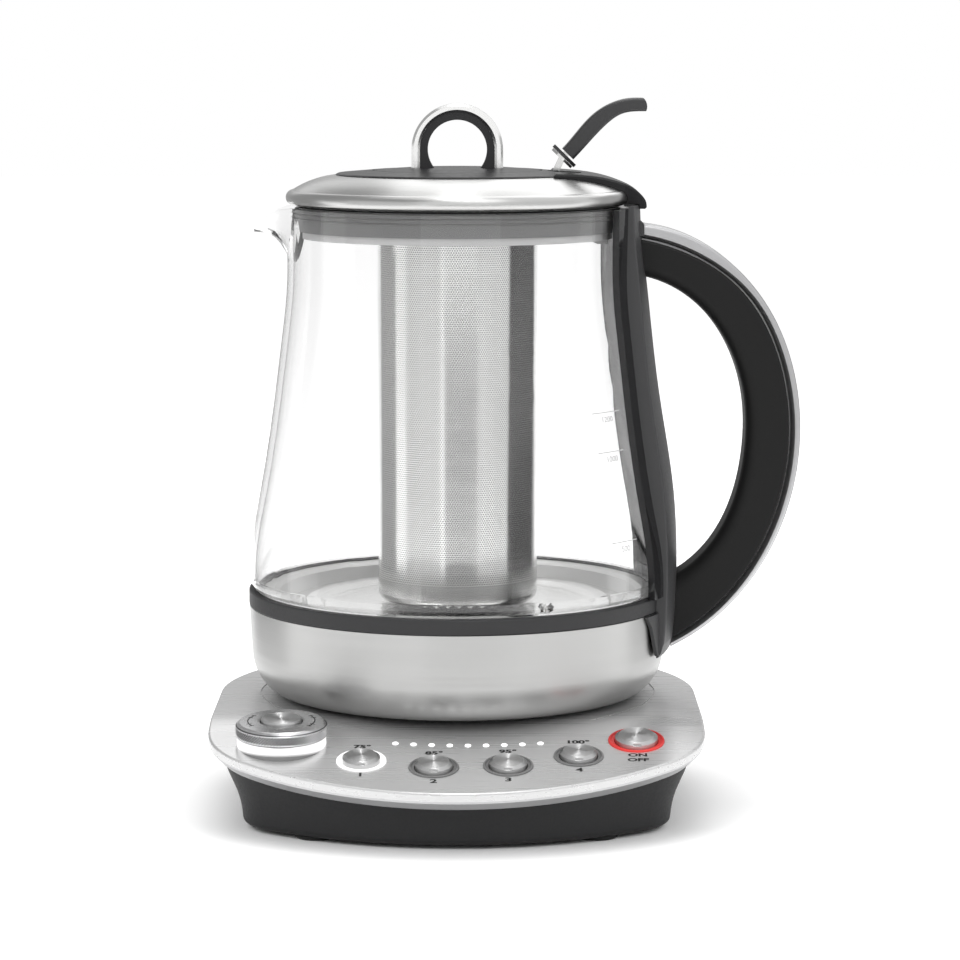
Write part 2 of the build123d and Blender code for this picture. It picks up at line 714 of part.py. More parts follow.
def spout_form(inset):
    """Drawn lip of the spout, a tapering trough that leans out along -X."""
    sections = []
    for beyond, half_width, low, top in (
        (-10.5, 25.0, -26.4, 2.6),
        (-2.5, 19.0, -23.4, 1.6),
        (1.5, 14.0, -15.6, 0.6),
        (5.5, 9.6, -11.2, -1.4),
        (9.5, 5.6, -9.8, -4.4),
        (SPOUT_REACH, 3.0, -9.6, -7.4),
    ):
        depth = max(top - low - inset, 0.6)
        width = max(half_width - inset, 0.6)
        place = Pos(-NECK_R - beyond, 0, JUG_TOP + top) * Rot(0, 90, 0) * Rot(0, 0, 90)
        sections.append(place * Ellipse(width, depth))
    return loft(sections)


def make_glass_jug():
    """Borosilicate jug: foot ring, belly, straight neck and a drawn spout."""
    body = jug_form(0, GLASS_FOOT_R, GLASS_FOOT_H, JUG_TOP)
    spout = spout_form(0)
    start = (14.5 - NECK_R, JUG_TOP)
    tip = (-SPOUT_TIP_X, JUG_TOP - 8.8)
    lip = Spline(
        start,
        (4.5 - NECK_R, JUG_TOP),
        (-NECK_R - 3.0, JUG_TOP - 1.0),
        (-NECK_R - 9.5, JUG_TOP - 4.8),
        tip,
        tangents=((-1, 0), (-0.4, -1)),
    )
    beyond = Polyline(tip, (-FAR, tip[1]), (-FAR, FAR), (start[0], FAR), start)
    spout -= extrude(Plane.XZ * make_face([lip, beyond]), FAR / 4, both=True)
    hollow = jug_form(GLASS_T, GLASS_FOOT_R - GLASS_T, GLASS_FOOT_H - 1, JUG_TOP + 1)
    return (body + spout) - hollow - spout_form(2.0)


def steel_wall(inset):
    """Outline of the steel body from its upper edge to its floor, as (radius, height)."""
    start = (STEEL_R - 0.9 - inset, 18.5)
    return [
        Line((STEEL_R - inset, COLLAR_LOW), start),
        Spline(
            start,
            (STEEL_R - 2.7 - inset * 0.98, 9.6 + inset * 0.2),
            (STEEL_R - 6.9 - inset * 0.7, 3.9 + inset * 0.7),
            (STEEL_FLOOR_R, STEEL_LOW + inset),
            tangents=((-0.054, -1), (-1, -0.12)),
        ),
    ]


def steel_form(inset):
    """Steel body as a solid."""
    wall = steel_wall(inset)
    floor = STEEL_LOW + inset
    return turned_edges(
        *wall,
        Line((STEEL_FLOOR_R, floor), (0, floor)),
        Line((0, floor), (0, COLLAR_LOW)),
        Line((0, COLLAR_LOW), (STEEL_R - inset, COLLAR_LOW)),
    )


def make_steel_shell():
    """Deep-drawn steel body under the glass, with its edges turned in."""
    shell = steel_form(0) - steel_form(STEEL_T)
    shell += ring(STEEL_R - 0.4, STEEL_R - 3.9, COLLAR_LOW - STEEL_T, COLLAR_LOW)
    return shell - disc(STEEL_HOLE_R, -1, 10)


def make_kettle_bottom():
    """Black bottom of the kettle with its foot ring."""
    low = STEEL_LOW + STEEL_T
    cover = disc(STEEL_FLOOR_R, low, low + 2.2) + ring(STEEL_HOLE_R - SEAT, STEEL_HOLE_R - 6, 0, low)
    for place in kettle_screw_places():
        cover -= place * disc(SCREW_R + PLAY, -1, 10)
        cover -= place * disc(SCREW_HEAD_R + PLAY, -1, low + 1.0)
    return cover - disc(SOCKET_R, -1, 30)


def kettle_screw_places():
    """Places of the kettle bottom's three screws."""
    return [Rot(0, 0, 120 * index + 60) * Pos(KETTLE_SCREW_REACH, 0, 0) for index in range(3)]


def make_kettle_screws():
    """Three screws that pull the bottom up to the heating plate's studs."""
    low = STEEL_LOW + STEEL_T
    screw = disc(SCREW_HEAD_R, low, low + 1.0) + disc(SCREW_R, low, low + 9)
    return [place * screw for place in kettle_screw_places()]


def make_kettle_studs():
    """Three studs under the heating plate that the bottom's screws bite into."""
    low = STEEL_LOW + STEEL_T + 2.2
    stud = disc(3.2, low, FLOOR_H - FLOOR_T) - disc(SCREW_R + SEAT, 0, low + 9)
    return [place * stud for place in kettle_screw_places()]


def make_kettle_connector():
    """Socket in the kettle's bottom that drops over the base's connector."""
    low = STEEL_LOW + STEEL_T
    body = ring(SOCKET_R - SEAT, CONNECTOR_R + 0.8, low - 1.0, 14)
    body += disc(SOCKET_R - SEAT, CONNECTOR_H + 1.5, 16)
    body += disc(SOCKET_R + 3, low + 2.2, low + 4.2) - disc(CONNECTOR_R + 0.8, 0, 10)
    body += disc(SOCKET_PIN_R, 2.0, 14)
    for radius in (6.0, 9.2):
        body += ring(radius + 0.3, radius - 0.3, 3.0, 14)
    return body


def make_heating_plate():
    """Polished steel floor of the jug, with one raised ring."""
    step_r = PLATE_EDGE_R - 6
    upper = [
        (0, FLOOR_H),
        (step_r - 9, FLOOR_H),
        (step_r - 7, FLOOR_H + 1.6),
        (step_r - 2, FLOOR_H + 1.6),
        (step_r, FLOOR_H),
        (PLATE_EDGE_R, FLOOR_H + 0.2),
    ]
    under = [(radius, height - FLOOR_T) for radius, height in reversed(upper)]
    plate = turned(*upper, *under)
    return plate - probe_place() * disc(PROBE_R + SEAT, FLOOR_H - 5, FLOOR_H + 5)


def make_floor_ring():
    """Matt outer ring of the floor, which rises to the glass."""
    upper = [
        (STEEL_FLOOR_R, FLOOR_H + 0.2),
        (STEEL_FLOOR_R + 2.5, COLLAR_TOP - 1.4),
        (STEEL_FLOOR_R + 4.5, COLLAR_TOP - 0.3),
        (GLASS_FOOT_R - GLASS_T - SEAT, COLLAR_TOP - 0.3),
    ]
    under = [(radius, height - FLOOR_T) for radius, height in reversed(upper)]
    return turned(*upper, *under)


def probe_place():
    """Place of the temperature probe, just inside the heater's ring."""
    return Rot(0, 0, PROBE_ANGLE) * Pos(ELEMENT_RING_R - 8.5, 0, 0)


def make_probe():
    """Temperature probe that stands just proud of the floor."""
    probe = disc(PROBE_R, FLOOR_H - 8, FLOOR_H + 1.0) + disc(4.2, FLOOR_H - 4, FLOOR_H - 1.3)
    probe = fillet(edges_near(probe, lambda p: p.Z > FLOOR_H + 0.9), 0.8)
    return probe_place() * probe


def make_heating_element():
    """Tubular heater under the floor: most of a ring, with two terminals."""
    height = FLOOR_H - FLOOR_T - SEAT - ELEMENT_R
    path = CenterArc((0, 0, height), ELEMENT_RING_R, 20, 320)
    section = Plane(path @ 0, z_dir=path % 0) * Circle(ELEMENT_R)
    element = sweep(section, path)
    for angle in (20, 340):
        post = Rot(0, 0, angle) * Pos(ELEMENT_RING_R, 0, 0)
        element += post * disc(2.0, height - 12, height)
    return element


def make_glass_seal():
    """Silicone ring under and inside the glass foot."""
    inner = GLASS_FOOT_R - GLASS_T
    lip = GLASS_FOOT_R - 5.3
    flange_low = COLLAR_TOP - 0.3 - FLOOR_T
    return turned(
        (lip, COLLAR_LOW + 1.2),
        (GLASS_FOOT_R, COLLAR_LOW + 1.2),
        (GLASS_FOOT_R, GLASS_FOOT_H),
        (inner - SEAT, GLASS_FOOT_H),
        (inner - SEAT, flange_low),
        (lip, flange_low),
    )


def make_collar():
    """Black ring that clamps the glass to the steel body."""
    outer = ring(COLLAR_R, GLASS_FOOT_R + SEAT, COLLAR_LOW, COLLAR_TOP)
    outer = fillet(edges_near(outer, lambda p: math.hypot(p.X, p.Y) > COLLAR_R - 0.1), 0.6)
    return outer + ring(GLASS_FOOT_R + 0.5, GLASS_FOOT_R - 5.3, COLLAR_LOW, COLLAR_LOW + 1.2)


# ------------------------------------------------------------------ handle


def handle_side():
    """Everything that the handle's strap leans on, as a solid with the jug's shape."""
    wall = jug_wall(-PAD_T)
    top = STRAP_TOP + 20
    glass = turned_edges(
        Line((0, COLLAR_TOP), (JUG_R + PAD_T, COLLAR_TOP)),
        Line((JUG_R + PAD_T, COLLAR_TOP), (JUG_R + PAD_T, BELLY_H)),
        wall,
        Line((NECK_R + PAD_T, NECK_H), (NECK_R + PAD_T, top)),
        Line((NECK_R + PAD_T, top), (0, top)),
        Line((0, top), (0, COLLAR_TOP)),
    )
    return glass + disc(COLLAR_R + SEAT, 0, COLLAR_TOP)


def make_strap_pad():
    """Glossy saddle that hugs the glass behind the strap."""
    outer = handle_side() - disc(FAR, -1, COLLAR_TOP + SEAT) - disc(FAR, JUG_TOP, FAR)
    inner = jug_form(-SEAT, GLASS_FOOT_R, 0, JUG_TOP + 10)
    inner += disc(JUG_R + SEAT, 0, BELLY_H)
    return (outer - inner) & wedge(PAD_ANGLE)


def strap_form(gap=0.0):
    """Strap as a turned solid, before its inside is cut to the kettle."""
    foot = (STRAP_LOW_R + gap, COLLAR_TOP - 18)
    side = Spline(
        (STRAP_TOP_R + gap, STRAP_TOP),
        wall_point(0.47, 0.958, -gap),
        wall_point(0.81, 0.588, -gap),
        wall_point(1.183, 0.277, -gap),
        wall_point(1.275, 0.008, -gap),
        foot,
        tangents=((0.02, -1), (-0.1, -1)),
    )
    rest = Polyline(
        foot,
        (COLLAR_R + 1.7 + gap, STRAP_FOOT_Z + 1.5),
        (COLLAR_R + 0.6 + gap, STRAP_FOOT_Z),
        (0, STRAP_FOOT_Z),
        (0, STRAP_TOP),
        (STRAP_TOP_R + gap, STRAP_TOP),
    )
    return turned_edges(side, rest)


def seen_from_x(*points):
    """Block along +X whose outline is half-widths at heights, from the top down."""
    right = [(half_width, height) for half_width, height in points]
    left = [(-half_width, height) for half_width, height in reversed(points)]
    return extrude(Plane.YZ * make_face(Polyline(*right, *left, close=True)), FAR)


def trim_socket(gap=0.0):
    """Raised socket on the strap that the trim's top end sits in."""
    socket = Box(NECK_R, 2 * (TRIM_HALF_W + 0.6 + gap), 5.8 + 2 * gap)
    socket = fillet(edges_near(socket, lambda p: p.X > NECK_R / 2 - 0.1 and p.Z > 2.8), 2.0)
    return Pos(NECK_R / 2 + 5.9 + gap, 0, STRAP_TOP - 8.8) * socket


def make_strap():
    """Upright strap that carries the handle, with a foot that wraps the steel body."""
    sides = seen_from_x(
        (STRAP_HALF_TOP, STRAP_TOP + 5),
        (STRAP_HALF_LOW, wall_point(0, 0.22)[1]),
        (STRAP_HALF_LOW - 0.5, 0),
    )
    strap = strap_form() & sides
    corners = edges_near(
        strap,
        lambda p: p.X > NECK_R / 2
        and abs(p.Y) > STRAP_HALF_TOP - 1
        and STRAP_FOOT_Z + 6 < p.Z < STRAP_TOP - 1,
    )
    strap = fillet(corners, 0.8)
    wings = ring(WING_R, COLLAR_R / 2, STRAP_FOOT_Z + 1, COLLAR_LOW - SEAT)
    wings = wings & seen_from_x(
        (39, COLLAR_LOW), (35, COLLAR_LOW - 5), (31.5, STRAP_FOOT_Z + 4), (29, STRAP_FOOT_Z)
    )
    return (strap + wings + trim_socket()) - handle_side()


def handle_point(reach_share, height_share):
    """(X, Z) on a net from the strap to the handle's back, and from the base to the strap's top."""
    root = NECK_R + 3.5
    return (root + reach_share * (HANDLE_REACH - root), height_share * STRAP_TOP)


def handle_curve(*shares):
    """Smooth line of the handle through points given as shares of its reach and height."""
    return Spline(*[handle_point(*share) for share in shares])


GROOVE_SHARES = (
    (0, 0.931),
    (0.241, 0.910),
    (0.609, 0.836),
    (0.897, 0.650),
    (0.915, 0.467),
    (0.619, 0.233),
    (0.209, 0.1195),
)


def groove_line():
    """Line between the grip and the metal trim."""
    return handle_curve(*GROOVE_SHARES)


def off_line(line, share, distance):
    """Point beside a line drawn as (X, Z), to its left as it runs."""
    point, along = line @ share, line % share
    return (point.X - along.Y * distance, point.Y + along.X * distance)


def handle_band(inner, outer, half_width):
    """Flat band between two lines of the handle."""
    ends = [Line(inner @ 0, outer @ 0), Line(inner @ 1, outer @ 1)]
    return side_plate(make_face([inner, outer, *ends]), half_width)


def make_grip():
    """Dark curved grip between the strap and the metal trim."""
    inner = handle_curve(
        (0, 0.858), (0.416, 0.782), (0.633, 0.6435), (0.659, 0.502), (0.481, 0.321), (0.193, 0.2375)
    )
    grip = handle_band(inner, groove_line(), GRIP_HALF_W)
    middle = inner @ 0.5
    hand_edges = edges_near(grip, lambda p: abs(p.Y) > GRIP_HALF_W - 0.1 and abs(p.X - middle.X) < 8)
    grip = fillet(hand_edges, 5.0)
    back = groove_line() @ 0.5
    seam_edges = edges_near(grip, lambda p: abs(p.Y) > GRIP_HALF_W - 0.1 and p.X > back.X - 8)
    grip = fillet(seam_edges, 0.8)
    return grip - strap_form(SEAT / 2) - trim_socket(SEAT)


def make_trim():
    """Bright metal band along the back of the grip, on a narrow tongue that makes a groove."""
    outer = handle_curve(
        (0, 0.961), (0.381, 0.926), (0.777, 0.805), (1, 0.550), (0.793, 0.281), (0.217, 0.100)
    )
    groove = groove_line()
    inner = Spline(*[off_line(groove, index / 8, TRIM_GROOVE) for index in range(9)])
    band = handle_band(inner, outer, TRIM_HALF_W)
    front, back = inner @ 0.5, outer @ 0.5
    back_edges = edges_near(band, lambda p: abs(p.Y) > TRIM_HALF_W - 0.1 and (p - back).X ** 2 < 1)
    band = fillet(back_edges, 1.2)
    facet_edges = edges_near(band, lambda p: abs(p.Y) > TRIM_HALF_W - 0.1 and (p - front).X ** 2 < 1)
    band = chamfer(facet_edges, TRIM_FACET)
    tongue = handle_band(groove_line(), outer, TRIM_HALF_W - 4)
    trim = band + (tongue & handle_band(groove_line(), inner, TRIM_HALF_W))
    return trim - strap_form(SEAT / 2) - trim_socket(SEAT)


# ------------------------------------------------------------------ lid


def make_dome():
    """Pressed steel lid with a rolled rim."""
    def skin(inset):
        lip = (DOME_R - 3.2, DOME_LOW + inset)
        side = (DOME_R - inset, DOME_LOW + 3.0)
        shoulder = (DOME_R - 2.6 - inset * 0.4, DOME_LOW + 5.7 - inset * 0.9)
        return [
            ThreePointArc(lip, side, shoulder),
            ThreePointArc(shoulder, (DOME_R - 10.5, DOME_TOP - 1.8 - inset), (DOME_R - 21, DOME_TOP - inset)),
        ]

    outer, inner = skin(0), skin(STEEL_T)
    ends = [Line(outer[0] @ 0, inner[0] @ 0), Line(outer[1] @ 1, inner[1] @ 1)]
    return turned_edges(*outer, *inner, *ends)


def make_arm():
    """Arm of the lid's cover: it narrows over the dome and drapes over the strap's top."""
    end_x = STRAP_TOP_R + 2.1
    over = Spline(
        (COVER_R - 10, COVER_TOP - 1.2),
        (COVER_R + 6, COVER_TOP - 2.5),
        (DOME_R - 3, COVER_TOP - 5.2),
        (DOME_R + 3, COVER_TOP - 8.5),
        (end_x - 0.7, COVER_TOP - 11.4),
        (end_x, DOME_LOW - 0.6),
        tangents=((1, -0.06), (0, -1)),
    )
    low = Polyline(
        (end_x, DOME_LOW - 0.6),
        (end_x - 0.6, DOME_LOW - 1.2),
        (COVER_R - 10, DOME_LOW - 1.2),
        (COVER_R - 10, COVER_TOP - 1.2),
    )
    slab = side_plate(make_face([over, low]), FAR / 4)
    start_angle = math.radians(53)
    start = (COVER_R * math.cos(start_angle), COVER_R * math.sin(start_angle))
    side = ThreePointArc(start, (DOME_R - 15.5, 2 * ARM_HALF_W), (DOME_R - 1.5, ARM_HALF_W))
    tip = (FAR / 4, ARM_HALF_W)
    half = make_face([side, Polyline((DOME_R - 1.5, ARM_HALF_W), tip, (FAR / 4, -1), (0, -1), start)])
    plan = Pos(0, 0, DOME_LOW - 10) * extrude(half, 60)
    arm = slab & (plan + mirror(plan, Plane.XZ))
    top_edges = edges_near(arm, lambda p: p.Z > DOME_LOW + 1 and (abs(p.Y) > ARM_HALF_W - 0.2))
    arm = chamfer([edge for edge in top_edges if edge.length > 8 and on_arm_top(edge @ 0.5)], 0.7)
    arm -= disc(LID_HOLE_R + 1, 0, FAR)
    arm -= disc(STRAP_TOP_R + PLAY, 0, STRAP_TOP + PLAY)
    return arm - turned_edges(*dome_outside(PLAY / 3))


def on_arm_top(point):
    """Whether a point of the arm lies on its upper surface, not on its flat underside."""
    return point.Z > DOME_LOW - 0.4


def dome_outside(gap):
    """Outline of everything under the dome's outer skin, as (radius, height)."""
    lip = (DOME_R - 3.2, DOME_LOW - gap)
    side = (DOME_R + gap, DOME_LOW + 3.0)
    shoulder = (DOME_R - 2.6 + gap / 2, DOME_LOW + 5.7 + gap / 2)
    crown = (DOME_R - 21, DOME_TOP + gap)
    return [
        ThreePointArc(lip, side, shoulder),
        ThreePointArc(shoulder, (DOME_R - 10.5, DOME_TOP - 1.8 + gap), crown),
        Polyline(crown, (0, DOME_TOP + gap), (0, lip[1]), lip),
    ]


def make_cover():
    """Black middle of the lid, with an arm that runs over the dome to the strap."""
    disc_part = turned(
        (LID_HOLE_R, COVER_LOW),
        (COVER_R - 2.5, COVER_LOW),
        (COVER_R - 2.2, DOME_TOP + 0.25),
        (COVER_R, DOME_TOP - 0.1),
        (COVER_R, DOME_TOP + 0.2),
        (COVER_R - 0.8, DOME_TOP + 0.6),
        (LID_HOLE_R, COVER_TOP - CROWN),
    )
    x, z = LEVER_PIVOT
    cover = disc_part + make_arm()
    cover -= Pos(x + 1.6, 0, z) * Box(7.4, LEVER_SLOT_W, 12)
    cover -= Pos(x + 6.0, 0, DOME_TOP + 0.4) * Box(9.0, 9.6, 10, align=UP)
    lugs = Pos(x, 0, z - 2.2) * Box(4.0, LEVER_SLOT_W + 5, 4.4, align=UP)
    lugs -= Pos(x, 0, z) * Box(5, LEVER_SLOT_W, 20)
    cover += lugs & ring(COVER_R, LID_HOLE_R, 0, FAR)
    for place in lid_screw_places():
        cover -= place * disc(LID_SCREW_R + SEAT, 0, COVER_TOP - 2.0)
    pin_hole = Pos(x, 0, z) * Rot(90, 0, 0) * Cylinder(PIN_R, LEVER_SLOT_W + 6)
    return cover - pin_hole - make_dome()


def make_plug():
    """Plastic body of the lid that reaches into the neck."""
    bore = LID_HOLE_R + 0.2
    flange_low = COVER_LOW - 1.4
    plug = turned(
        (LID_HOLE_R - 1.4, PLUG_LOW),
        (PLUG_R, PLUG_LOW),
        (PLUG_R, DOME_LOW + 1.0),
        (PLUG_R - 2.2, DOME_LOW + 1.0),
        (PLUG_R - 2.2, PLUG_LOW + 2.2),
        (bore, PLUG_LOW + 2.2),
        (bore, flange_low),
        (LID_HOLE_R + 8, flange_low),
        (LID_HOLE_R + 8, COVER_LOW),
        (bore, COVER_LOW),
        (bore, BASKET_FLANGE_H),
        (LID_HOLE_R - 1.4, BASKET_FLANGE_H),
    )
    for place in lid_screw_places():
        plug -= place * disc(LID_SCREW_R + SEAT, flange_low - 5, COVER_TOP)
    return plug - Pos(LID_HOLE_R + 6.2, 0, COVER_LOW) * Box(11, LEVER_SLOT_W + 7, 6)


def make_lid_seal():
    """Grey silicone seal round the plug, with three thin lips."""
    seal = turned(
        (PLUG_R, PLUG_LOW),
        (PLUG_R + 0.4, PLUG_LOW),
        (SEAL_R, PLUG_LOW + 5.5),
        (SEAL_R, JUG_TOP + SEAT),
        (PLUG_R, JUG_TOP + SEAT),
    )
    for depth in (3.8, 2.1, 0.5):
        height = JUG_TOP - depth
        seal += turned(
            (SEAL_R - 0.5, height - 0.5),
            (SEAL_RIB_R, height),
            (SEAL_R - 0.5, height + 0.6),
        )
    return seal


def make_clear_ring():
    """Pale ring at the bottom of the plug, with a small tab at the handle side."""
    inner = PLUG_R - 9.5
    body = ring(PLUG_R - 0.8, inner, CLEAR_RING_LOW, PLUG_LOW)
    tab_x = PLUG_R - 2.5
    tab_low = CLEAR_RING_LOW - 2.4
    corners = [(inner - 3, CLEAR_RING_LOW), (tab_x - 4, tab_low), (tab_x, tab_low), (tab_x, CLEAR_RING_LOW)]
    return body + side_plate(make_face(Polyline(*corners, close=True)), 4.0)


def make_lever_pin():
    """Pin that the lever turns on."""
    x, z = LEVER_PIVOT
    return Pos(x, 0, z) * Rot(90, 0, 0) * Cylinder(PIN_R - 0.01, LEVER_SLOT_W + 5)


def make_lever_spring():
    """Torsion spring on the pin, beside the lever."""
    x, z = LEVER_PIVOT
    coil = Cylinder(1.7, 1.2) - Cylinder(PIN_R + SEAT, 5)
    return Pos(x, LEVER_T / 2 + 0.9, z) * Rot(90, 0, 0) * coil


def make_lid_screws():
    """Three screws that hold the cover to the plug."""
    flange_low = COVER_LOW - 1.4
    screw = disc(2.4, flange_low - 1.2, flange_low) + disc(LID_SCREW_R, flange_low, COVER_TOP - 2.1)
    return [place * screw for place in lid_screw_places()]


def lid_screw_places():
    """Places of the lid's three screws, in the black middle."""
    return [Rot(0, 0, 120 * index + 60) * Pos(LID_HOLE_R + 4.6, 0, 0) for index in range(3)]


# ------------------------------------------------------------------ infuser


def make_basket_tube():
    """Fine steel tube of the infuser, with a flange that hangs in the lid."""
    cup_top = BASKET_LOW + BASKET_CUP_H
    tube = ring(BASKET_R, BASKET_R - BASKET_T, cup_top, BASKET_FLANGE_H + FLANGE_T)
    return tube + ring(CAP_R, BASKET_R - BASKET_T, BASKET_FLANGE_H, BASKET_FLANGE_H + FLANGE_T)


def make_basket_cup():
    """Plain closed end of the infuser, with round corners."""
    cup_top = BASKET_LOW + BASKET_CUP_H
    cup = disc(BASKET_R, BASKET_LOW, cup_top)
    cup = fillet(edges_near(cup, lambda p: p.Z < BASKET_LOW + 0.01), 3.0)
    inner = disc(BASKET_R - BASKET_T, BASKET_LOW + BASKET_T, cup_top + 5)
    inner = fillet(edges_near(inner, lambda p: p.Z < BASKET_LOW + BASKET_T + 0.01), 2.2)
    return cup - inner


def make_cap():
    """Black cap of the infuser, flush with the lid, with a skirt into the tube."""
    low = BASKET_FLANGE_H + FLANGE_T
    edge_z = COVER_TOP - CROWN
    cap = turned(
        (0, low),
        (CAP_R, low),
        (CAP_R, edge_z - 0.4),
        (CAP_R - 0.4, edge_z),
        (HOOP_R + 2.7, COVER_TOP),
        (0, COVER_TOP),
    )
    skirt_r = BASKET_R - BASKET_T - PLAY
    return cap + ring(skirt_r, skirt_r - 2.0, low - 8, low + 1)


def arch_face(outer, inner, foot):
    """Arch drawn as (X, Z): a half ring on two straight legs."""
    arch = make_face(
        [
            CenterArc((0, HOOP_Z), outer, 0, 180),
            Polyline((-outer, HOOP_Z), (-outer, foot), (outer, foot), (outer, HOOP_Z)),
        ]
    )
    return arch - inner


def make_hoop():
    """Bright metal arch to lift the infuser by."""
    inner_r = HOOP_R - HOOP_T
    hole = make_face(
        [
            CenterArc((0, HOOP_Z), inner_r, 0, 180),
            Polyline((-inner_r, HOOP_Z), (-inner_r, 150), (inner_r, 150), (inner_r, HOOP_Z)),
        ]
    )
    hoop = side_plate(arch_face(HOOP_R, hole, COVER_TOP), HOOP_HALF_W)
    edges = edges_near(hoop, lambda p: abs(p.Y) > HOOP_HALF_W - 0.1 and p.Z > COVER_TOP + 0.5)
    return chamfer(edges, 0.9)


def make_liner():
    """Black liner inside the arch, round inside, with flat feet."""
    inner_r = HOOP_R - HOOP_T - 0.02
    hole = Pos(0, HOOP_Z) * Circle(LINER_HOLE_R)
    face = arch_face(inner_r, hole, COVER_TOP)
    face -= Pos(0, HOOP_Z - 8) * Rectangle(2 * LINER_HOLE_R - 9, 12)
    return side_plate(face, HOOP_HALF_W - 1.0)


# ------------------------------------------------------------------ lever


def make_lever_stem():
    """Flat steel stem with an eye round the pin."""
    x, z = LEVER_PIVOT
    eye = Pos(x, 0, z) * Rot(90, 0, 0) * Cylinder(2.1, LEVER_T)
    knee_x, knee_z = LEVER_KNEE
    lower = thick_line((x, z), LEVER_KNEE, 2.4)
    upper = thick_line(LEVER_KNEE, (knee_x + 9, knee_z + 9.2), 2.4)
    stem = side_plate(lower + upper, LEVER_T / 2) + eye
    return stem - Pos(x, 0, z) * Rot(90, 0, 0) * Cylinder(PIN_R - 0.01 + FIT, 20)


def thick_line(start, end, width):
    """Straight strip drawn as (X, Z), with round ends."""
    length = math.hypot(end[0] - start[0], end[1] - start[1])
    angle = math.degrees(math.atan2(end[1] - start[1], end[0] - start[0]))
    middle = ((start[0] + end[0]) / 2, (start[1] + end[1]) / 2)
    return Pos(*middle) * Rot(0, 0, angle) * SlotCenterToCenter(length, width)


def lever_frame():
    """Place at the stem's knee, with its Z along the grip."""
    x, z = LEVER_KNEE
    return Pos(x, 0, z) * Rot(0, 90 - LEVER_SLOPE, 0)


def make_lever_washer():
    """Bright oval washer under the grip."""
    washer = extrude(Ellipse(5.0, 3.5), 1.0)
    washer -= Box(3.1, LEVER_T + 0.02, 10)
    return lever_frame() * Pos(0, 0, -0.5) * washer


def make_lever_grip():
    """Soft dark grip that curves over to a thumb rest."""
    x, z = LEVER_KNEE

    def curve(*points, tangents):
        return Spline(*[(x + dx, z + dz) for dx, dz in points], tangents=tangents)

    upper = curve((0.1, 3.6), (13.2, 17.7), (21.3, 21.8), (30.6, 22.7), tangents=((1, 1), (1, -0.05)))
    lower = curve((4.2, -0.4), (14.8, 11.0), (21.3, 16.2), (31.6, 17.7), tangents=((1, 1), (1, 0)))
    ends = [Line(upper @ 0, lower @ 0), ThreePointArc(upper @ 1, (x + 31.9, z + 20.2), lower @ 1)]
    grip = side_plate(make_face([upper, lower, *ends]), LEVER_GRIP_HALF_W)
    sides = edges_near(grip, lambda p: abs(p.Y) > LEVER_GRIP_HALF_W - 0.1 and x + 5 < p.X < x + 30)
    grip = fillet(sides, 1.2)
    flange = lever_frame() * Pos(0, 0, 0.6) * extrude(Ellipse(5.6, 4.0), 1.3)
    return (grip + flange) - make_lever_stem_space()


def make_lever_stem_space():
    """Room in the grip for the stem."""
    knee_x, knee_z = LEVER_KNEE
    strip = thick_line(LEVER_KNEE, (knee_x + 9, knee_z + 9.2), 2.44)
    return side_plate(strip, LEVER_T / 2 + 0.02)


# ------------------------------------------------------------------ assembly


def build_nodes():
    """Every node by name: (pieces, stands on the base plate or not)."""
    base = {
        "base_shell": make_base_shell(),
        "base_bottom_cover": make_bottom_cover(),
        "rubber_feet": make_feet(),
        "base_screws": make_base_screws(),
        "top_plate": make_top_plate(),
        "trim_ring": make_trim_ring(),
        "kettle_seat_frame": make_kettle_seat(),
        "base_connector": make_base_connector(),
        "control_board": make_control_board(),
        "power_board": make_power_board(),
        "power_relay": make_power_relay(),
        "transformer": make_transformer(),
        "cord_gland": make_cord_gland(),
        "led_light_pipes": make_light_pipes(),
        "button_light_rings": make_button_rings(),
        "power_light_ring": make_power_ring(),
        "dial_light_ring": make_dial_ring_light(),
        "tact_switches": make_tact_switches(),
        "dial_encoder": make_dial_encoder(),
        "dial": make_dial(),
        "dial_shaft": make_dial_shaft(),
        "dial_button": make_dial_button(),
        "power_button": make_power_button(),
    }
    for number, button in enumerate(make_buttons(), start=1):
        base[f"temperature_button_{number}"] = button
    kettle = {
        "glass_jug": make_glass_jug(),
        "steel_shell": make_steel_shell(),
        "collar_ring": make_collar(),
        "glass_seal": make_glass_seal(),
        "heating_plate": make_heating_plate(),
        "floor_ring": make_floor_ring(),
        "heating_element": make_heating_element(),
        "temperature_probe": make_probe(),
        "kettle_bottom": make_kettle_bottom(),
        "kettle_screws": make_kettle_screws(),
        "kettle_studs": make_kettle_studs(),
        "kettle_connector": make_kettle_connector(),
        "strap_pad": make_strap_pad(),
        "handle_strap": make_strap(),
        "handle_grip": make_grip(),
        "handle_trim": make_trim(),
        "lid_dome": make_dome(),
        "lid_cover": make_cover(),
        "lid_plug": make_plug(),
        "lid_seal": make_lid_seal(),
        "lid_clear_ring": make_clear_ring(),
        "lid_screws": make_lid_screws(),
        "lever_pin": make_lever_pin(),
        "lever_spring": make_lever_spring(),
        "lever_stem": make_lever_stem(),
        "lever_washer": make_lever_washer(),
        "lever_grip": make_lever_grip(),
        "basket_tube": make_basket_tube(),
        "basket_cup": make_basket_cup(),
        "infuser_cap": make_cap(),
        "arch_hoop": make_hoop(),
        "arch_liner": make_liner(),
    }
    return base, kettle


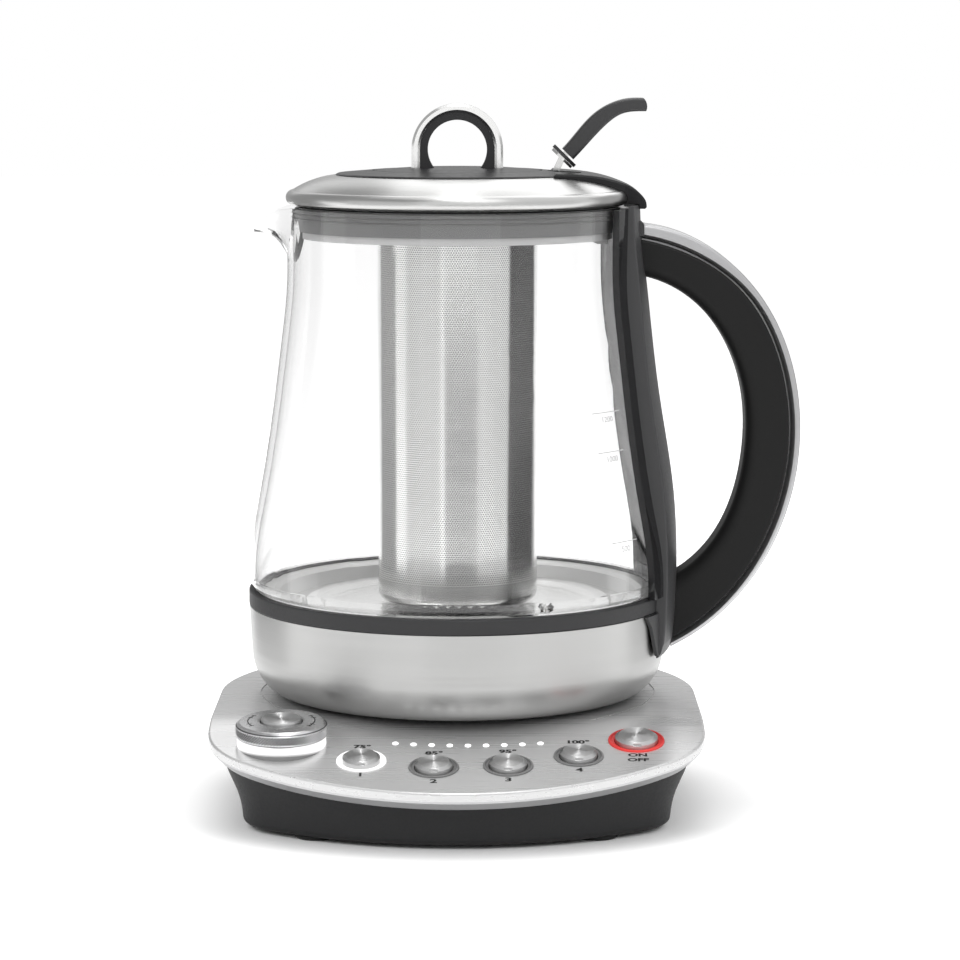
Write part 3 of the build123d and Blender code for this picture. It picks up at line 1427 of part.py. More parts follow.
def export_nodes():
    """Move every node into the final frame and write it."""
    os.makedirs("parts", exist_ok=True)
    base, kettle = build_nodes()
    to_frame = Pos(AXIS_X, AXIS_Y, 0)
    for nodes, lift in ((base, 0.0), (kettle, PLATE_TOP)):
        for name, shape in nodes.items():
            pieces = shape if isinstance(shape, list) else [shape]
            solids = [solid for piece in pieces for solid in piece.solids()]
            moved = [to_frame * Pos(0, 0, lift) * solid for solid in solids]
            shape_out = moved[0] if len(moved) == 1 else Compound(children=moved)
            export_step(shape_out, f"parts/{name}.step")


export_nodes()
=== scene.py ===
# %% [markdown]
# # Automatic tea maker: the looks
# The solid model is already there: every casing, button and glass wall stands in its place, and
# none of it is moved here. This lesson adds what the eye needs on top of it: a camera, soft
# light, a finish for every surface, and the small pieces that are all looks, such as the printed
# numbers, the diamond knurl of the dial and the lenses of the lights.

# %% Load the solid model
import json
import math

import bmesh
import bpy
from mathutils import Matrix, Vector
from mathutils.bvhtree import BVHTree


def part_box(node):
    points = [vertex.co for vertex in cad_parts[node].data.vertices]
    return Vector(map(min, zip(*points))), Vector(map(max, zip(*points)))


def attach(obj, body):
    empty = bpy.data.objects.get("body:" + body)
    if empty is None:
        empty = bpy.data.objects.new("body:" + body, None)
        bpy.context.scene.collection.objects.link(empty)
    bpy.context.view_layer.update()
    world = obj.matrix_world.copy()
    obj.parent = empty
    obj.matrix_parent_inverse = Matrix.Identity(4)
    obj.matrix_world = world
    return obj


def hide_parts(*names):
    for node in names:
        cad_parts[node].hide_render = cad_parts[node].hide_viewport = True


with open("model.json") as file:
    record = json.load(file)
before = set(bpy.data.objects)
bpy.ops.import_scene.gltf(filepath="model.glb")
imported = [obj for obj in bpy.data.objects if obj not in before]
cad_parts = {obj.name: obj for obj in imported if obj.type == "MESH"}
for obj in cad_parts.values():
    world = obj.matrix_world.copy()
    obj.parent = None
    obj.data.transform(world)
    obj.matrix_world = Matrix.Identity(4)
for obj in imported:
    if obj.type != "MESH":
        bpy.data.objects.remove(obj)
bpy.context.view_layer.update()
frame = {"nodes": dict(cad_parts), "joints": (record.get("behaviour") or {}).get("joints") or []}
CAD_MATERIALS = len(bpy.data.materials)

MM = 0.001
steel_low, steel_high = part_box("steel_shell")
AXIS = Vector(((steel_low.x + steel_high.x) / 2, (steel_low.y + steel_high.y) / 2, 0))
PLATE_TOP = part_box("top_plate")[1].z
print("kettle axis at", tuple(AXIS), "on a plate", PLATE_TOP / MM, "mm high")

# %% [markdown]
# ## Small helpers
# Colours are written as a designer gives them, as sRGB hex. Blender's shaders count in linear
# light, so one function turns them. Another adds a node with its settings and its inputs: an
# input is a value, a socket to link, or a node whose first output is linked. Nearly all values
# of a noise lie between 0.3 and 0.7, so that range is the one that finishes stretch.

# %% Colour, node and object helpers
NOISE_RANGE = {"From Min": 0.3, "From Max": 0.7}
scene = bpy.context.scene


def linear(hex_colour):
    """Linear RGBA from an sRGB hex colour."""
    channels = [int(hex_colour[i : i + 2], 16) / 255 for i in (1, 3, 5)]
    curve = [c / 12.92 if c <= 0.04045 else ((c + 0.055) / 1.055) ** 2.4 for c in channels]
    return (*curve, 1.0)


def connect(tree, target, inputs):
    """Set a node's inputs: values as they are, sockets and nodes as links."""
    for name, value in inputs.items():
        if isinstance(value, bpy.types.Node):
            value = value.outputs[0]
        if isinstance(value, bpy.types.NodeSocket):
            tree.links.new(value, target.inputs[name])
        else:
            target.inputs[name].default_value = value


def node(tree, kind, inputs=None, **settings):
    """Add a node with its settings, then set its inputs."""
    made = tree.nodes.new("ShaderNode" + kind)
    for name, value in settings.items():
        setattr(made, name, value)
    connect(tree, made, inputs or {})
    return made


def principled(name, colour, roughness, metallic=0.0):
    """New material with one Principled shader, returned with its tree and shader."""
    material = bpy.data.materials.new(name)
    material.use_nodes = True
    tree = material.node_tree
    shader = tree.nodes["Principled BSDF"]
    surface = {"Base Color": linear(colour), "Roughness": roughness, "Metallic": metallic}
    connect(tree, shader, surface)
    return material, tree, shader


def add_object(name, bm, material):
    """Make an object of a bmesh, its place in its mesh, and give it a material."""
    mesh = bpy.data.meshes.new(name)
    bm.to_mesh(mesh)
    bm.free()
    mesh.materials.append(material)
    made = bpy.data.objects.new(name, mesh)
    scene.collection.objects.link(made)
    return made


# %% [markdown]
# ## Camera
# A small appliance looks right through a long lens from a few steps away: 128 mm on a 36 mm
# sensor, 1.3 m in front of the kettle's axis, a little above it and tilted 7.3 degrees down.

# %% Camera
CAMERA_DISTANCE = 1.3
CAMERA_SIDE = 0.00858
CAMERA_RISE = 0.24858
CAMERA_TILT = 7.3124
SENSOR_MM = 36.0
LENS_MM = 128.289
camera_data = bpy.data.cameras.new("camera")
camera_data.sensor_width = SENSOR_MM
camera_data.lens = LENS_MM
camera = bpy.data.objects.new("camera", camera_data)
camera.location = AXIS + Vector((CAMERA_SIDE, -CAMERA_DISTANCE, PLATE_TOP + CAMERA_RISE))
camera.rotation_euler = (math.radians(90 - CAMERA_TILT), 0, 0)
scene.collection.objects.link(camera)
bpy.context.scene.camera = camera
print("camera at", tuple(camera.location))

# %% [markdown]
# ## A white room
# Glass and brushed steel show their surroundings more than their own colour. The usual studio
# way is a bright field: a white room that the lens, the mirror-like surfaces and the glass see
# at full strength, while matt surfaces get a calmer share of it.

# %% World
ROOM_LIGHT = 0.55
WHITE = (1, 1, 1, 1)
scene.view_settings.view_transform = "Standard"


def seen_share(tree):
    """1 for rays from the lens, from a mirror or through glass, 0 for diffuse light."""
    path = node(tree, "LightPath").outputs
    straight = {0: path["Is Camera Ray"], 1: path["Is Transmission Ray"]}
    seen = node(tree, "Math", straight, operation="MAXIMUM")
    return node(tree, "Math", {0: seen, 1: path["Is Glossy Ray"]}, operation="MAXIMUM")


world = bpy.data.worlds.new("white_room")
world.use_nodes = True
scene.world = world
sky = world.node_tree
strength = node(sky, "MapRange", {"Value": seen_share(sky), "To Min": ROOM_LIGHT, "To Max": 1.0})
connect(sky, sky.nodes["Background"], {"Color": WHITE, "Strength": strength})
print("room:", ROOM_LIGHT, "for matt surfaces, 1 for the lens, mirrors and glass")

# %% [markdown]
# ## Floor
# The floor is pale and matt, and keeps the soft shadow under the base. A little glow of its own
# lifts the rest of it to the white of the room, so that no horizon shows. The glow fades with the
# square of the ambient occlusion where the base stands close above it, which paints a deeper
# contact shadow there than the lamps alone cast.

# %% Floor
FLOOR_HALF = 6.0
FLOOR_LIFT = 0.55
SHADE_REACH = 80 * MM
SHADE_SAMPLES = 8


def make_floor():
    """Wide pale floor that glows where nothing stands close above it, with painted shadow near the
    base.
    """
    material, tree, shader = principled("painted_board_pale", "#F2F2F2", 0.9)
    shade = node(tree, "AmbientOcclusion", {"Distance": SHADE_REACH}, samples=SHADE_SAMPLES)
    # painted shadow: the glow fades with the squared occlusion under the base
    open_share = shade.outputs["AO"]
    painted_shadow_falloff = node(tree, "Math", {0: open_share, 1: open_share}, operation="MULTIPLY")
    lift = node(tree, "Math", {0: painted_shadow_falloff, 1: FLOOR_LIFT}, operation="MULTIPLY")
    glow = node(tree, "Math", {0: seen_share(tree), 1: lift}, operation="MULTIPLY")
    connect(tree, shader, {"Emission Color": WHITE, "Emission Strength": glow})
    connect(tree, shader, {"Specular IOR Level": 0.0})
    bm = bmesh.new()
    bmesh.ops.create_grid(bm, x_segments=1, y_segments=1, size=FLOOR_HALF)
    floor = add_object("floor", bm, material)


make_floor()
print("floor:", 2 * FLOOR_HALF, "m wide")

# %% [markdown]
# ## Lamps
# Three soft boxes model the matt surfaces. Mirrors don't see them: what steel and glass
# reflect is set by the cards of the next step, so the two can be tuned apart.

# %% Lamps
MIDDLE = AXIS + Vector((0, 0, 0.12))
LAMPS = (  # name, place from the kettle's middle, side in metres, watts
    ("soft_box_left", (-1.0, -0.9, 0.9), 0.9, 9),
    ("soft_box_right", (1.1, -0.8, 0.8), 0.9, 8),
    ("soft_box_top", (0.0, 0.2, 1.5), 1.2, 10),
)


def area_lamp(name, offset, size, power):
    """Square soft box that points at the object."""
    data = bpy.data.lights.new(name, "AREA")
    data.size = size
    data.energy = power
    lamp = bpy.data.objects.new(name, data)
    lamp.location = MIDDLE + Vector(offset)
    lamp.rotation_euler = (-Vector(offset)).to_track_quat("-Z", "Y").to_euler()
    lamp.visible_glossy = False
    scene.collection.objects.link(lamp)


for lamp_values in LAMPS:
    area_lamp(*lamp_values)
print("lamps:", len(LAMPS))

# %% [markdown]
# ## Cards
# Grey and bright cards stand round the object, out of view, as a product photographer sets
# them. A round steel body mirrors whatever stands at twice the angle of its surface, so dark
# flags behind it at both sides draw its edges, and bright boxes in front give its broad bands.

# %% Cards that only reflections see
STANDING_CARDS = (  # name, azimuth and half its width in degrees, distance, height, brightness
    ("flag_left", -118, 22, 0.36, 0.40, 0.38),
    ("flag_right", 120, 22, 0.36, 0.40, 0.48),
    ("card_front", 5, 23, 0.62, 0.13, 0.30),
    ("box_left", -50, 27, 0.60, 0.50, 0.82),
    ("box_right", 57, 29, 0.60, 0.50, 0.86),
)
HUNG_CARDS = (  # name, width, height, place and aim from the kettle's middle, brightness
    ("card_back_low", 2.4, 0.52, (0, 0.9, 0.10), (0, 0, 0), 0.45),
    ("box_back_right", 1.2, 1.1, (0.35, 1.0, 1.0), (0, 0, 0), 1.9),
    ("card_back_left", 1.1, 1.1, (-0.85, 0.8, 1.0), (0, 0, 0), 0.36),
    ("strip_overhead", 0.10, 0.5, (0, -0.12, 0.75), (0, -0.12, 0), 7),
    ("card_top_left", 1.4, 1.2, (-0.8, -0.3, 0.7), (0, 0, 0), 0.40),
    ("box_top_front", 0.5, 0.8, (0.22, -0.65, 0.95), (0, 0, 0), 1.9),
)


def stage_card(name, width, height, place, aim, grey, through_glass):
    """Flat glowing card that only mirrors, and glass if wanted, can see."""
    material = bpy.data.materials.new(name)
    material.use_nodes = True
    tree = material.node_tree
    tree.nodes.remove(tree.nodes["Principled BSDF"])
    glow = node(tree, "Emission", {"Color": (grey, grey, grey, 1)})
    connect(tree, tree.nodes["Material Output"], {"Surface": glow})
    bm = bmesh.new()
    bmesh.ops.create_grid(bm, x_segments=1, y_segments=1, size=0.5)
    bmesh.ops.scale(bm, vec=(width, height, 1), verts=bm.verts)
    turn = (aim - place).to_track_quat("Z", "Y")
    bmesh.ops.rotate(bm, matrix=turn.to_matrix(), verts=bm.verts)
    bmesh.ops.translate(bm, vec=place, verts=bm.verts)
    card = add_object(name, bm, material)
    card.visible_camera = False
    card.visible_diffuse = False
    card.visible_shadow = False
    card.visible_transmission = through_glass


def standing_card(name, azimuth, half_angle, distance, height, grey):
    """Card that stands on the floor; its azimuth is from the camera's side, + to the right."""
    turn = math.radians(azimuth)
    half = math.radians(half_angle)
    chord = distance * math.cos(half)
    place = AXIS + Vector((math.sin(turn) * chord, -math.cos(turn) * chord, height / 2))
    aim = AXIS + Vector((0, 0, height / 2))
    stage_card(name, 2 * distance * math.sin(half), height, place, aim, grey, True)


for card_values in STANDING_CARDS:
    standing_card(*card_values)
for name, width, height, place, aim, grey in HUNG_CARDS:
    stage_card(name, width, height, MIDDLE + Vector(place), MIDDLE + Vector(aim), grey, False)
print("cards:", len(STANDING_CARDS) + len(HUNG_CARDS))

# %% [markdown]
# ## Brushed stainless steel
# Such domes and bodies are usually turned against an abrasive belt, so that their fine
# scratches run round the axis. A noise that changes quickly along the profile and slowly
# round the axis gives those circles. Real scratches are finer still; they are drawn 0.5 mm
# apart, because finer ones would vanish at this distance.

# %% Round-brushed steel
SCRATCH_PITCH = 0.5 * MM
SCRATCH_DEPTH = 0.02 * MM
QUARTER_TURN = 0.25


def polar(tree, centre, tilt=0.0):
    """Radius, angle and height about an axis through a place, tilted towards the front."""
    coords = node(tree, "TexCoord").outputs["Object"]
    back = Matrix.Rotation(-tilt, 4, "X") @ Matrix.Translation(-Vector(centre))
    place = {"Vector": coords, "Location": back.translation, "Rotation": (-tilt, 0, 0)}
    x, y, z = node(tree, "SeparateXYZ", {0: node(tree, "Mapping", place)}).outputs
    y_square = node(tree, "Math", {0: y, 1: y}, operation="MULTIPLY")
    square = node(tree, "Math", {0: x, 1: x, 2: y_square}, operation="MULTIPLY_ADD")
    radius = node(tree, "Math", {0: square}, operation="SQRT")
    angle = node(tree, "Math", {0: y, 1: x}, operation="ARCTAN2")
    return radius, angle, z


def round_scratches(tree):
    """Noise that draws circles round the kettle's axis."""
    radius, angle, height = polar(tree, AXIS)
    slow = node(tree, "Math", {0: angle, 1: 2 * SCRATCH_PITCH}, operation="MULTIPLY")
    line = node(tree, "CombineXYZ", {0: radius, 1: slow, 2: height})
    return node(tree, "TexNoise", {"Vector": line, "Scale": 1 / SCRATCH_PITCH / 2, "Detail": 3.0})


def brushed(name, colour, roughness, pattern, spread, stretch):
    """Metal whose roughness follows a scratch pattern, its shine stretched across them."""
    material, tree, shader = principled(name, colour, roughness, 1.0)
    scratches = pattern(tree)
    limits = {"To Min": roughness - spread / 2, "To Max": roughness + spread / 2}
    rough = node(tree, "MapRange", {"Value": scratches, **limits})
    shine = {"Anisotropic": stretch, "Anisotropic Rotation": QUARTER_TURN}
    connect(tree, shader, {"Roughness": rough, **shine})
    return material, tree, shader, scratches


def spun(name, colour, roughness):
    """Brushed metal with a slight relief, its scratches running round an upright axis."""
    made = brushed(name, colour, roughness, round_scratches, spread=0.12, stretch=0.6)
    material, tree, shader, scratches = made
    height = {"Height": scratches, "Strength": 0.25, "Distance": SCRATCH_DEPTH}
    around = node(tree, "Tangent", direction_type="RADIAL", axis="Z")
    connect(tree, shader, {"Normal": node(tree, "Bump", height), "Tangent": around})
    return material, tree, shader


body_steel, _, _ = spun("stainless_304_spun", "#B6B6B5", 0.34)
dome_steel, _, _ = spun("stainless_304_spun_lid", "#C8C8C7", 0.30)
cup_steel, _, _ = spun("stainless_304_drawn", "#D2D2D1", 0.22)
print("scratches", SCRATCH_PITCH / MM, "mm apart")

# %% [markdown]
# ## Straight-brushed plate
# The base's top is a sheet whose scratches run straight from side to side, over the bend and
# down the sloping panel, as if it was brushed before it was pressed. A sheet that is all metal
# would mirror the kettle's dark underside and come out too dark here, so it is set 0.6
# metallic. That value was matched and isn't a physical one.

# %% Straight-brushed steel
SCRATCH_LENGTH = 80 * MM
SHEET_METALLIC = 0.6


def straight_scratches(tree):
    """Noise stretched along X."""
    coords = node(tree, "TexCoord").outputs["Object"]
    size = (SCRATCH_LENGTH, 2 * SCRATCH_PITCH, 2 * SCRATCH_PITCH)
    lines = node(tree, "Mapping", {"Vector": coords, "Scale": size}, vector_type="TEXTURE")
    return node(tree, "TexNoise", {"Vector": lines, "Scale": 1.0, "Detail": 2.0})


plate_steel, sheet_tree, sheet_shader, _ = brushed(
    "stainless_304_brushed_sheet", "#D4D4D4", 0.28, straight_scratches, spread=0.05, stretch=0.5
)
along = node(sheet_tree, "CombineXYZ", {0: 1.0, 1: 0.0, 2: 0.0})
connect(sheet_tree, sheet_shader, {"Tangent": along, "Metallic": SHEET_METALLIC})
print("plate scratches", SCRATCH_LENGTH / MM, "mm long")

# %% [markdown]
# ## Perforated tube
# The infuser's tube has holes 0.93 mm apart in a honeycomb order, tens of thousands of them.
# That many real holes would take more faces than the whole kettle, so the finish draws them:
# on the tube's unrolled surface each point's distance from the nearest of two interlaced grids
# says whether it lies in a hole. A hole shows a matt grey, for the inside of the tube, instead
# of shining steel.

# %% Perforated steel
HOLE_PITCH = 0.93 * MM
HOLE_RADIUS = 0.26  # in pitches, as the next one
HOLE_EDGE = 0.05
ROW_STRETCH = math.sqrt(3)
BASKET_R = 30.4 * MM
HOLES_AROUND = round(2 * math.pi * BASKET_R / HOLE_PITCH)


def grid_distance(tree, across, up, shift):
    """Distance from the nearest point of one grid of holes, in pitches."""
    squares = []
    for place, stretch in ((across, 1.0), (up, ROW_STRETCH)):
        moved = node(tree, "Math", {0: place, 1: shift}, operation="ADD")
        cell = node(tree, "Math", {0: moved}, operation="FRACT")
        off_centre = node(tree, "Math", {0: cell, 1: 0.5}, operation="SUBTRACT")
        side = node(tree, "Math", {0: off_centre, 1: stretch}, operation="MULTIPLY")
        squares.append(node(tree, "Math", {0: side, 1: side}, operation="MULTIPLY"))
    total = node(tree, "Math", {0: squares[0], 1: squares[1]}, operation="ADD")
    return node(tree, "Math", {0: total}, operation="SQRT")


def draw_holes(tree, shader, hole_colour, steel_colour):
    """Draw rows of small round holes on the tube."""
    _, angle, height = polar(tree, AXIS)
    per_turn = HOLES_AROUND / (2 * math.pi)
    across = node(tree, "Math", {0: angle, 1: per_turn}, operation="MULTIPLY")
    up = node(tree, "Math", {0: height, 1: HOLE_PITCH * ROW_STRETCH}, operation="DIVIDE")
    grids = {index: grid_distance(tree, across, up, shift) for index, shift in ((0, 0.0), (1, 0.5))}
    near = node(tree, "Math", grids, operation="MINIMUM")
    edge = {"From Min": HOLE_RADIUS - HOLE_EDGE, "From Max": HOLE_RADIUS + HOLE_EDGE}
    steel = node(tree, "MapRange", {"Value": near, **edge})
    colours = {0: steel, 6: linear(hole_colour), 7: linear(steel_colour)}
    shade = node(tree, "Mix", colours, data_type="RGBA").outputs[2]
    connect(tree, shader, {"Base Color": shade, "Metallic": steel})


MESH_STEEL_COLOUR = "#F0F0EF"
mesh_steel, mesh_tree, mesh_shader = spun("stainless_304_etched", MESH_STEEL_COLOUR, 0.20)
draw_holes(mesh_tree, mesh_shader, "#7A7A7A", MESH_STEEL_COLOUR)
basket_low, basket_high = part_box("basket_tube")
hole_rows = round(2 * (basket_high.z - basket_low.z) / (HOLE_PITCH * ROW_STRETCH))
print("holes:", HOLES_AROUND, "round the tube in each of", hole_rows, "rows")

# %% [markdown]
# ## Polished and satin metals
# The heater's floor is polished, its outer ring is blasted matt. The hoop of the infuser and
# the bands are satin, and the lever's stem is polished. Even polished metal has dust-fine wear,
# which a weak noise gives to its roughness and its relief.

# %% Polished, satin and turned metals


def uneven(tree, shader, grain_mm, detail, low, high):
    """Let a noise carry the roughness between two values, and return the noise."""
    coords = node(tree, "TexCoord").outputs["Object"]
    settings = {"Vector": coords, "Scale": 1 / (grain_mm * MM), "Detail": detail}
    grain = node(tree, "TexNoise", settings)
    rough = node(tree, "MapRange", {"Value": grain, **NOISE_RANGE, "To Min": low, "To Max": high})
    connect(tree, shader, {"Roughness": rough})
    return grain


def worn_metal(name, colour, roughness, spread=0.05, grain_mm=2.0, depth_mm=0.004):
    """Metal with a faint uneven polish."""
    material, tree, shader = principled(name, colour, roughness, 1.0)
    wear = uneven(tree, shader, grain_mm, 4.0, roughness - spread, roughness + spread)
    relief = {"Height": wear, "Strength": 0.2, "Distance": depth_mm * MM}
    connect(tree, shader, {"Normal": node(tree, "Bump", relief)})
    return material


mirror_steel = worn_metal("stainless_polished", "#DADAD9", 0.12)
floor_steel = worn_metal("stainless_polished_floor", "#DEDEDD", 0.22)
blasted_steel = worn_metal("stainless_bead_blasted", "#EEEEED", 0.55, 0.04, 0.5, 0.01)
hoop_steel = worn_metal("stainless_satin", "#F2F2F1", 0.22, 0.03, 2.0, 0.002)
satin_aluminium = worn_metal("aluminium_satin_anodised", "#BEBEBF", 0.36, 0.04, 0.6)
zinc_steel = worn_metal("steel_zinc_plated", "#B4B4B0", 0.35, 0.08, 1.0)
heater_steel = worn_metal("steel_oxidised", "#8E8A84", 0.45, 0.10, 1.5)
knurled_aluminium = worn_metal("aluminium_turned", "#C4C4C5", 0.26, 0.02, 0.6, 0.001)
print("materials added so far:", len(bpy.data.materials) - CAD_MATERIALS)

# %% [markdown]
# ## Spun caps
# Each button has a metal cap that was faced on a lathe. Its scratches run in circles round its
# own middle, and light draws the bright and dark wedges that such caps show. The tangent
# follows the circles, and the shine is spread across them.

# %% Spun caps
CAP_STRETCH = 0.95
spun_cap, cap_tree, cap_shader = principled("aluminium_spun_cap", "#D2D2D2", 0.42, 1.0)
uneven(cap_tree, cap_shader, 0.4, 3.0, 0.40, 0.44)
cap_tangent = node(cap_tree, "Tangent", direction_type="RADIAL", axis="Z")
cap_shine = {"Anisotropic": CAP_STRETCH, "Anisotropic Rotation": QUARTER_TURN}
connect(cap_tree, cap_shader, {"Tangent": cap_tangent, **cap_shine})
print("cap finish:", spun_cap.name)

# %% [markdown]
# ## Plastics and rubbers
# The housing is black plastic with the fine matt grain of its mould, the grip is a softer,
# rubbery plastic, and the lid's middle is glossier. The plastics named here are the usual ones
# for such parts. Their grain is a shallow relief, and none is quite black: even dark plastic
# sends back a few percent of the light.

# %% Plastics and rubbers


def moulded(name, colour, roughness, grain_mm, depth_mm, shine=0.5):
    """Plastic or rubber with the fine grain of its mould."""
    material, tree, shader = principled(name, colour, roughness)
    grain = uneven(tree, shader, grain_mm, 2.0, roughness * 0.9, roughness * 1.1)
    relief = {"Height": grain, "Strength": 0.3, "Distance": depth_mm * MM}
    connect(tree, shader, {"Normal": node(tree, "Bump", relief), "Specular IOR Level": shine})
    return material


satin_black = moulded("polypropylene_black_satin", "#323233", 0.48, 0.9, 0.02, 0.35)
strap_black = moulded("polyamide_black_satin", "#3C3C3D", 0.42, 0.9, 0.02, 0.4)
housing_black = moulded("abs_black_spark_eroded", "#232324", 0.55, 0.9, 0.03, 0.3)
gloss_black = moulded("abs_black_glossy", "#262627", 0.32, 3.0, 0.005, 0.1)
liner_black = moulded("abs_black_liner", "#2E2E2F", 0.5, 1.2, 0.01, 0.25)
pad_black = moulded("abs_black_polished", "#232324", 0.08, 6.0, 0.004, 0.5)
grip_black = moulded("tpe_black_soft", "#191919", 0.5, 0.8, 0.02, 0.2)
seal_grey = moulded("silicone_grey", "#7C7C7C", 0.45, 1.5, 0.01, 0.4)
lever_black = moulded("polyamide_black_rubbed", "#303031", 0.34, 0.8, 0.01, 0.5)
foot_rubber = moulded("rubber_black", "#232323", 0.8, 0.6, 0.04, 0.3)
pale_silicone = moulded("silicone_pale", "#DCDCDC", 0.4, 2.0, 0.01, 0.4)
dark_part = moulded("nylon_black", "#1F1F1F", 0.6, 1.0, 0.02, 0.4)
board_green = moulded("fr4_solder_mask", "#1E5A35", 0.35, 2.0, 0.01)
print_black = moulded("screen_print_black", "#101010", 0.5, 0.5, 0.002, 0.3)
print_white = moulded("enamel_white", "#C4C4C4", 0.5, 0.5, 0.002, 0.3)
print("materials added so far:", len(bpy.data.materials) - CAD_MATERIALS)

# %% [markdown]
# ## Borosilicate glass
# Such jugs are blown from borosilicate: clear, with a lower index than window glass. The solid
# model has the whole wall, inside and outside, so refraction draws the dark edges by itself. A
# very long, weak wave keeps the reflections from looking machine-made.

# %% Jug glass
GLASS_INDEX = 1.473
WAVE_LENGTH = 40 * MM
WAVE_DEPTH = 0.2 * MM
jug_glass, glass_tree, glass_shader = principled("borosilicate_glass", "#FFFFFF", 0.0)
glass_coords = node(glass_tree, "TexCoord").outputs["Object"]
wave_settings = {"Vector": glass_coords, "Scale": 1 / WAVE_LENGTH, "Detail": 0.0}
glass_wave = node(glass_tree, "TexNoise", wave_settings)
wave_relief = {"Height": glass_wave, "Strength": 0.1, "Distance": WAVE_DEPTH}
clear = {"IOR": GLASS_INDEX, "Transmission Weight": 1.0}
connect(glass_tree, glass_shader, {"Normal": node(glass_tree, "Bump", wave_relief), **clear})
print("glass index:", GLASS_INDEX)

# %% [markdown]
# ## Lit plastics
# The rings and lenses are milky plastic with lamps behind. The ring of the first button is lit
# and the other three rest in grey. They are one piece in the model, so the finish takes the
# light from the place along X.

# %% Lit plastics
RING_DARK = 6.0 * MM  # below the top of the dial's ring, as the next one
RING_BRIGHT = 4.9 * MM


def milky(name, colour, glow, strength):
    """Diffusing plastic with a lamp behind it; the strength is a number or a function."""
    material, tree, shader = principled(name, colour, 0.35)
    coords = node(tree, "TexCoord").outputs["Object"]
    cloud = node(tree, "TexNoise", {"Vector": coords, "Scale": 1 / (3 * MM), "Detail": 1.0})
    even = node(tree, "MapRange", {"Value": cloud, **NOISE_RANGE, "To Min": 0.96, "To Max": 1.04})
    level = strength(tree, coords) if callable(strength) else strength
    light = node(tree, "Math", {0: even, 1: level}, operation="MULTIPLY")
    connect(tree, shader, {"Emission Color": linear(glow), "Emission Strength": light})
    return material


def first_button_lit(tree, coords):
    """Full light left of the middle between the first two buttons, none right of it."""
    first = sum(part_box("temperature_button_1"), Vector()).x / 2
    second = sum(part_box("temperature_button_2"), Vector()).x / 2
    x = node(tree, "SeparateXYZ", {0: coords}).outputs[0]
    return node(tree, "Math", {0: x, 1: (first + second) / 2}, operation="LESS_THAN")


def fading_down(tree, coords):
    """Light of the dial's ring: full near its top, none near the panel."""
    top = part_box("dial_light_ring")[1].z
    z = node(tree, "SeparateXYZ", {0: coords}).outputs[2]
    span = {"From Min": top - RING_DARK, "From Max": top - RING_BRIGHT}
    return node(tree, "MapRange", {"Value": z, **span, "To Max": 0.9})


def front_half_lit(tree, coords):
    """Lamp behind the front of the power ring: full there, faint at the back."""
    low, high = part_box("power_light_ring")
    y = node(tree, "SeparateXYZ", {0: coords}).outputs[1]
    span = {"From Min": low.y * 0.3 + high.y * 0.7, "From Max": low.y}
    return node(tree, "MapRange", {"Value": y, **span, "To Min": 0.02, "To Max": 0.4})


lens_white = milky("polycarbonate_lens_lit", "#F4F4F4", "#FFFFFF", 1.0)
dial_ring_white = milky("polycarbonate_ring_dial", "#868686", "#FFFFFF", fading_down)
button_ring = milky("polycarbonate_ring_buttons", "#787878", "#FFFFFF", first_button_lit)
power_ring_red = milky("polycarbonate_ring_red", "#B83434", "#FF3428", front_half_lit)
print("materials added in all:", len(bpy.data.materials) - CAD_MATERIALS)

# %% [markdown]
# ## A finish for every node
# Each node of the solid model is of one material, so each gets one finish.

# %% Give every node its finish
FINISHES = {
    "base_shell": housing_black,
    "base_bottom_cover": housing_black,
    "rubber_feet": foot_rubber,
    "base_screws": zinc_steel,
    "top_plate": plate_steel,
    "trim_ring": satin_aluminium,
    "kettle_seat_frame": dark_part,
    "base_connector": dark_part,
    "control_board": board_green,
    "power_board": board_green,
    "power_relay": dark_part,
    "transformer": dark_part,
    "cord_gland": foot_rubber,
    "led_light_pipes": lens_white,
    "button_light_rings": button_ring,
    "power_light_ring": power_ring_red,
    "dial_light_ring": dial_ring_white,
    "tact_switches": dark_part,
    "dial_encoder": dark_part,
    "dial": knurled_aluminium,
    "dial_shaft": dark_part,
    "dial_button": spun_cap,
    "temperature_button_1": spun_cap,
    "temperature_button_2": spun_cap,
    "temperature_button_3": spun_cap,
    "temperature_button_4": spun_cap,
    "power_button": spun_cap,
    "glass_jug": jug_glass,
    "steel_shell": body_steel,
    "collar_ring": satin_black,
    "glass_seal": seal_grey,
    "heating_plate": floor_steel,
    "floor_ring": blasted_steel,
    "heating_element": heater_steel,
    "temperature_probe": mirror_steel,
    "kettle_bottom": housing_black,
    "kettle_screws": zinc_steel,
    "kettle_studs": zinc_steel,
    "kettle_connector": dark_part,
    "strap_pad": pad_black,
    "handle_strap": strap_black,
    "handle_grip": grip_black,
    "handle_trim": satin_aluminium,
    "lid_dome": dome_steel,
    "lid_cover": gloss_black,
    "lid_plug": dark_part,
    "lid_seal": seal_grey,
    "lid_clear_ring": pale_silicone,
    "lid_screws": zinc_steel,
    "lever_pin": zinc_steel,
    "lever_spring": zinc_steel,
    "lever_stem": mirror_steel,
    "lever_washer": mirror_steel,
    "lever_grip": lever_black,
    "basket_tube": mesh_steel,
    "basket_cup": cup_steel,
    "infuser_cap": gloss_black,
    "arch_hoop": hoop_steel,
    "arch_liner": liner_black,
}
for name, finish in FINISHES.items():
    slots = frame["nodes"][name].data.materials
    slots.clear()
    slots.append(finish)
missing = set(frame["nodes"]) - set(FINISHES)
print("finishes given to", len(FINISHES), "nodes; still plain:", missing)

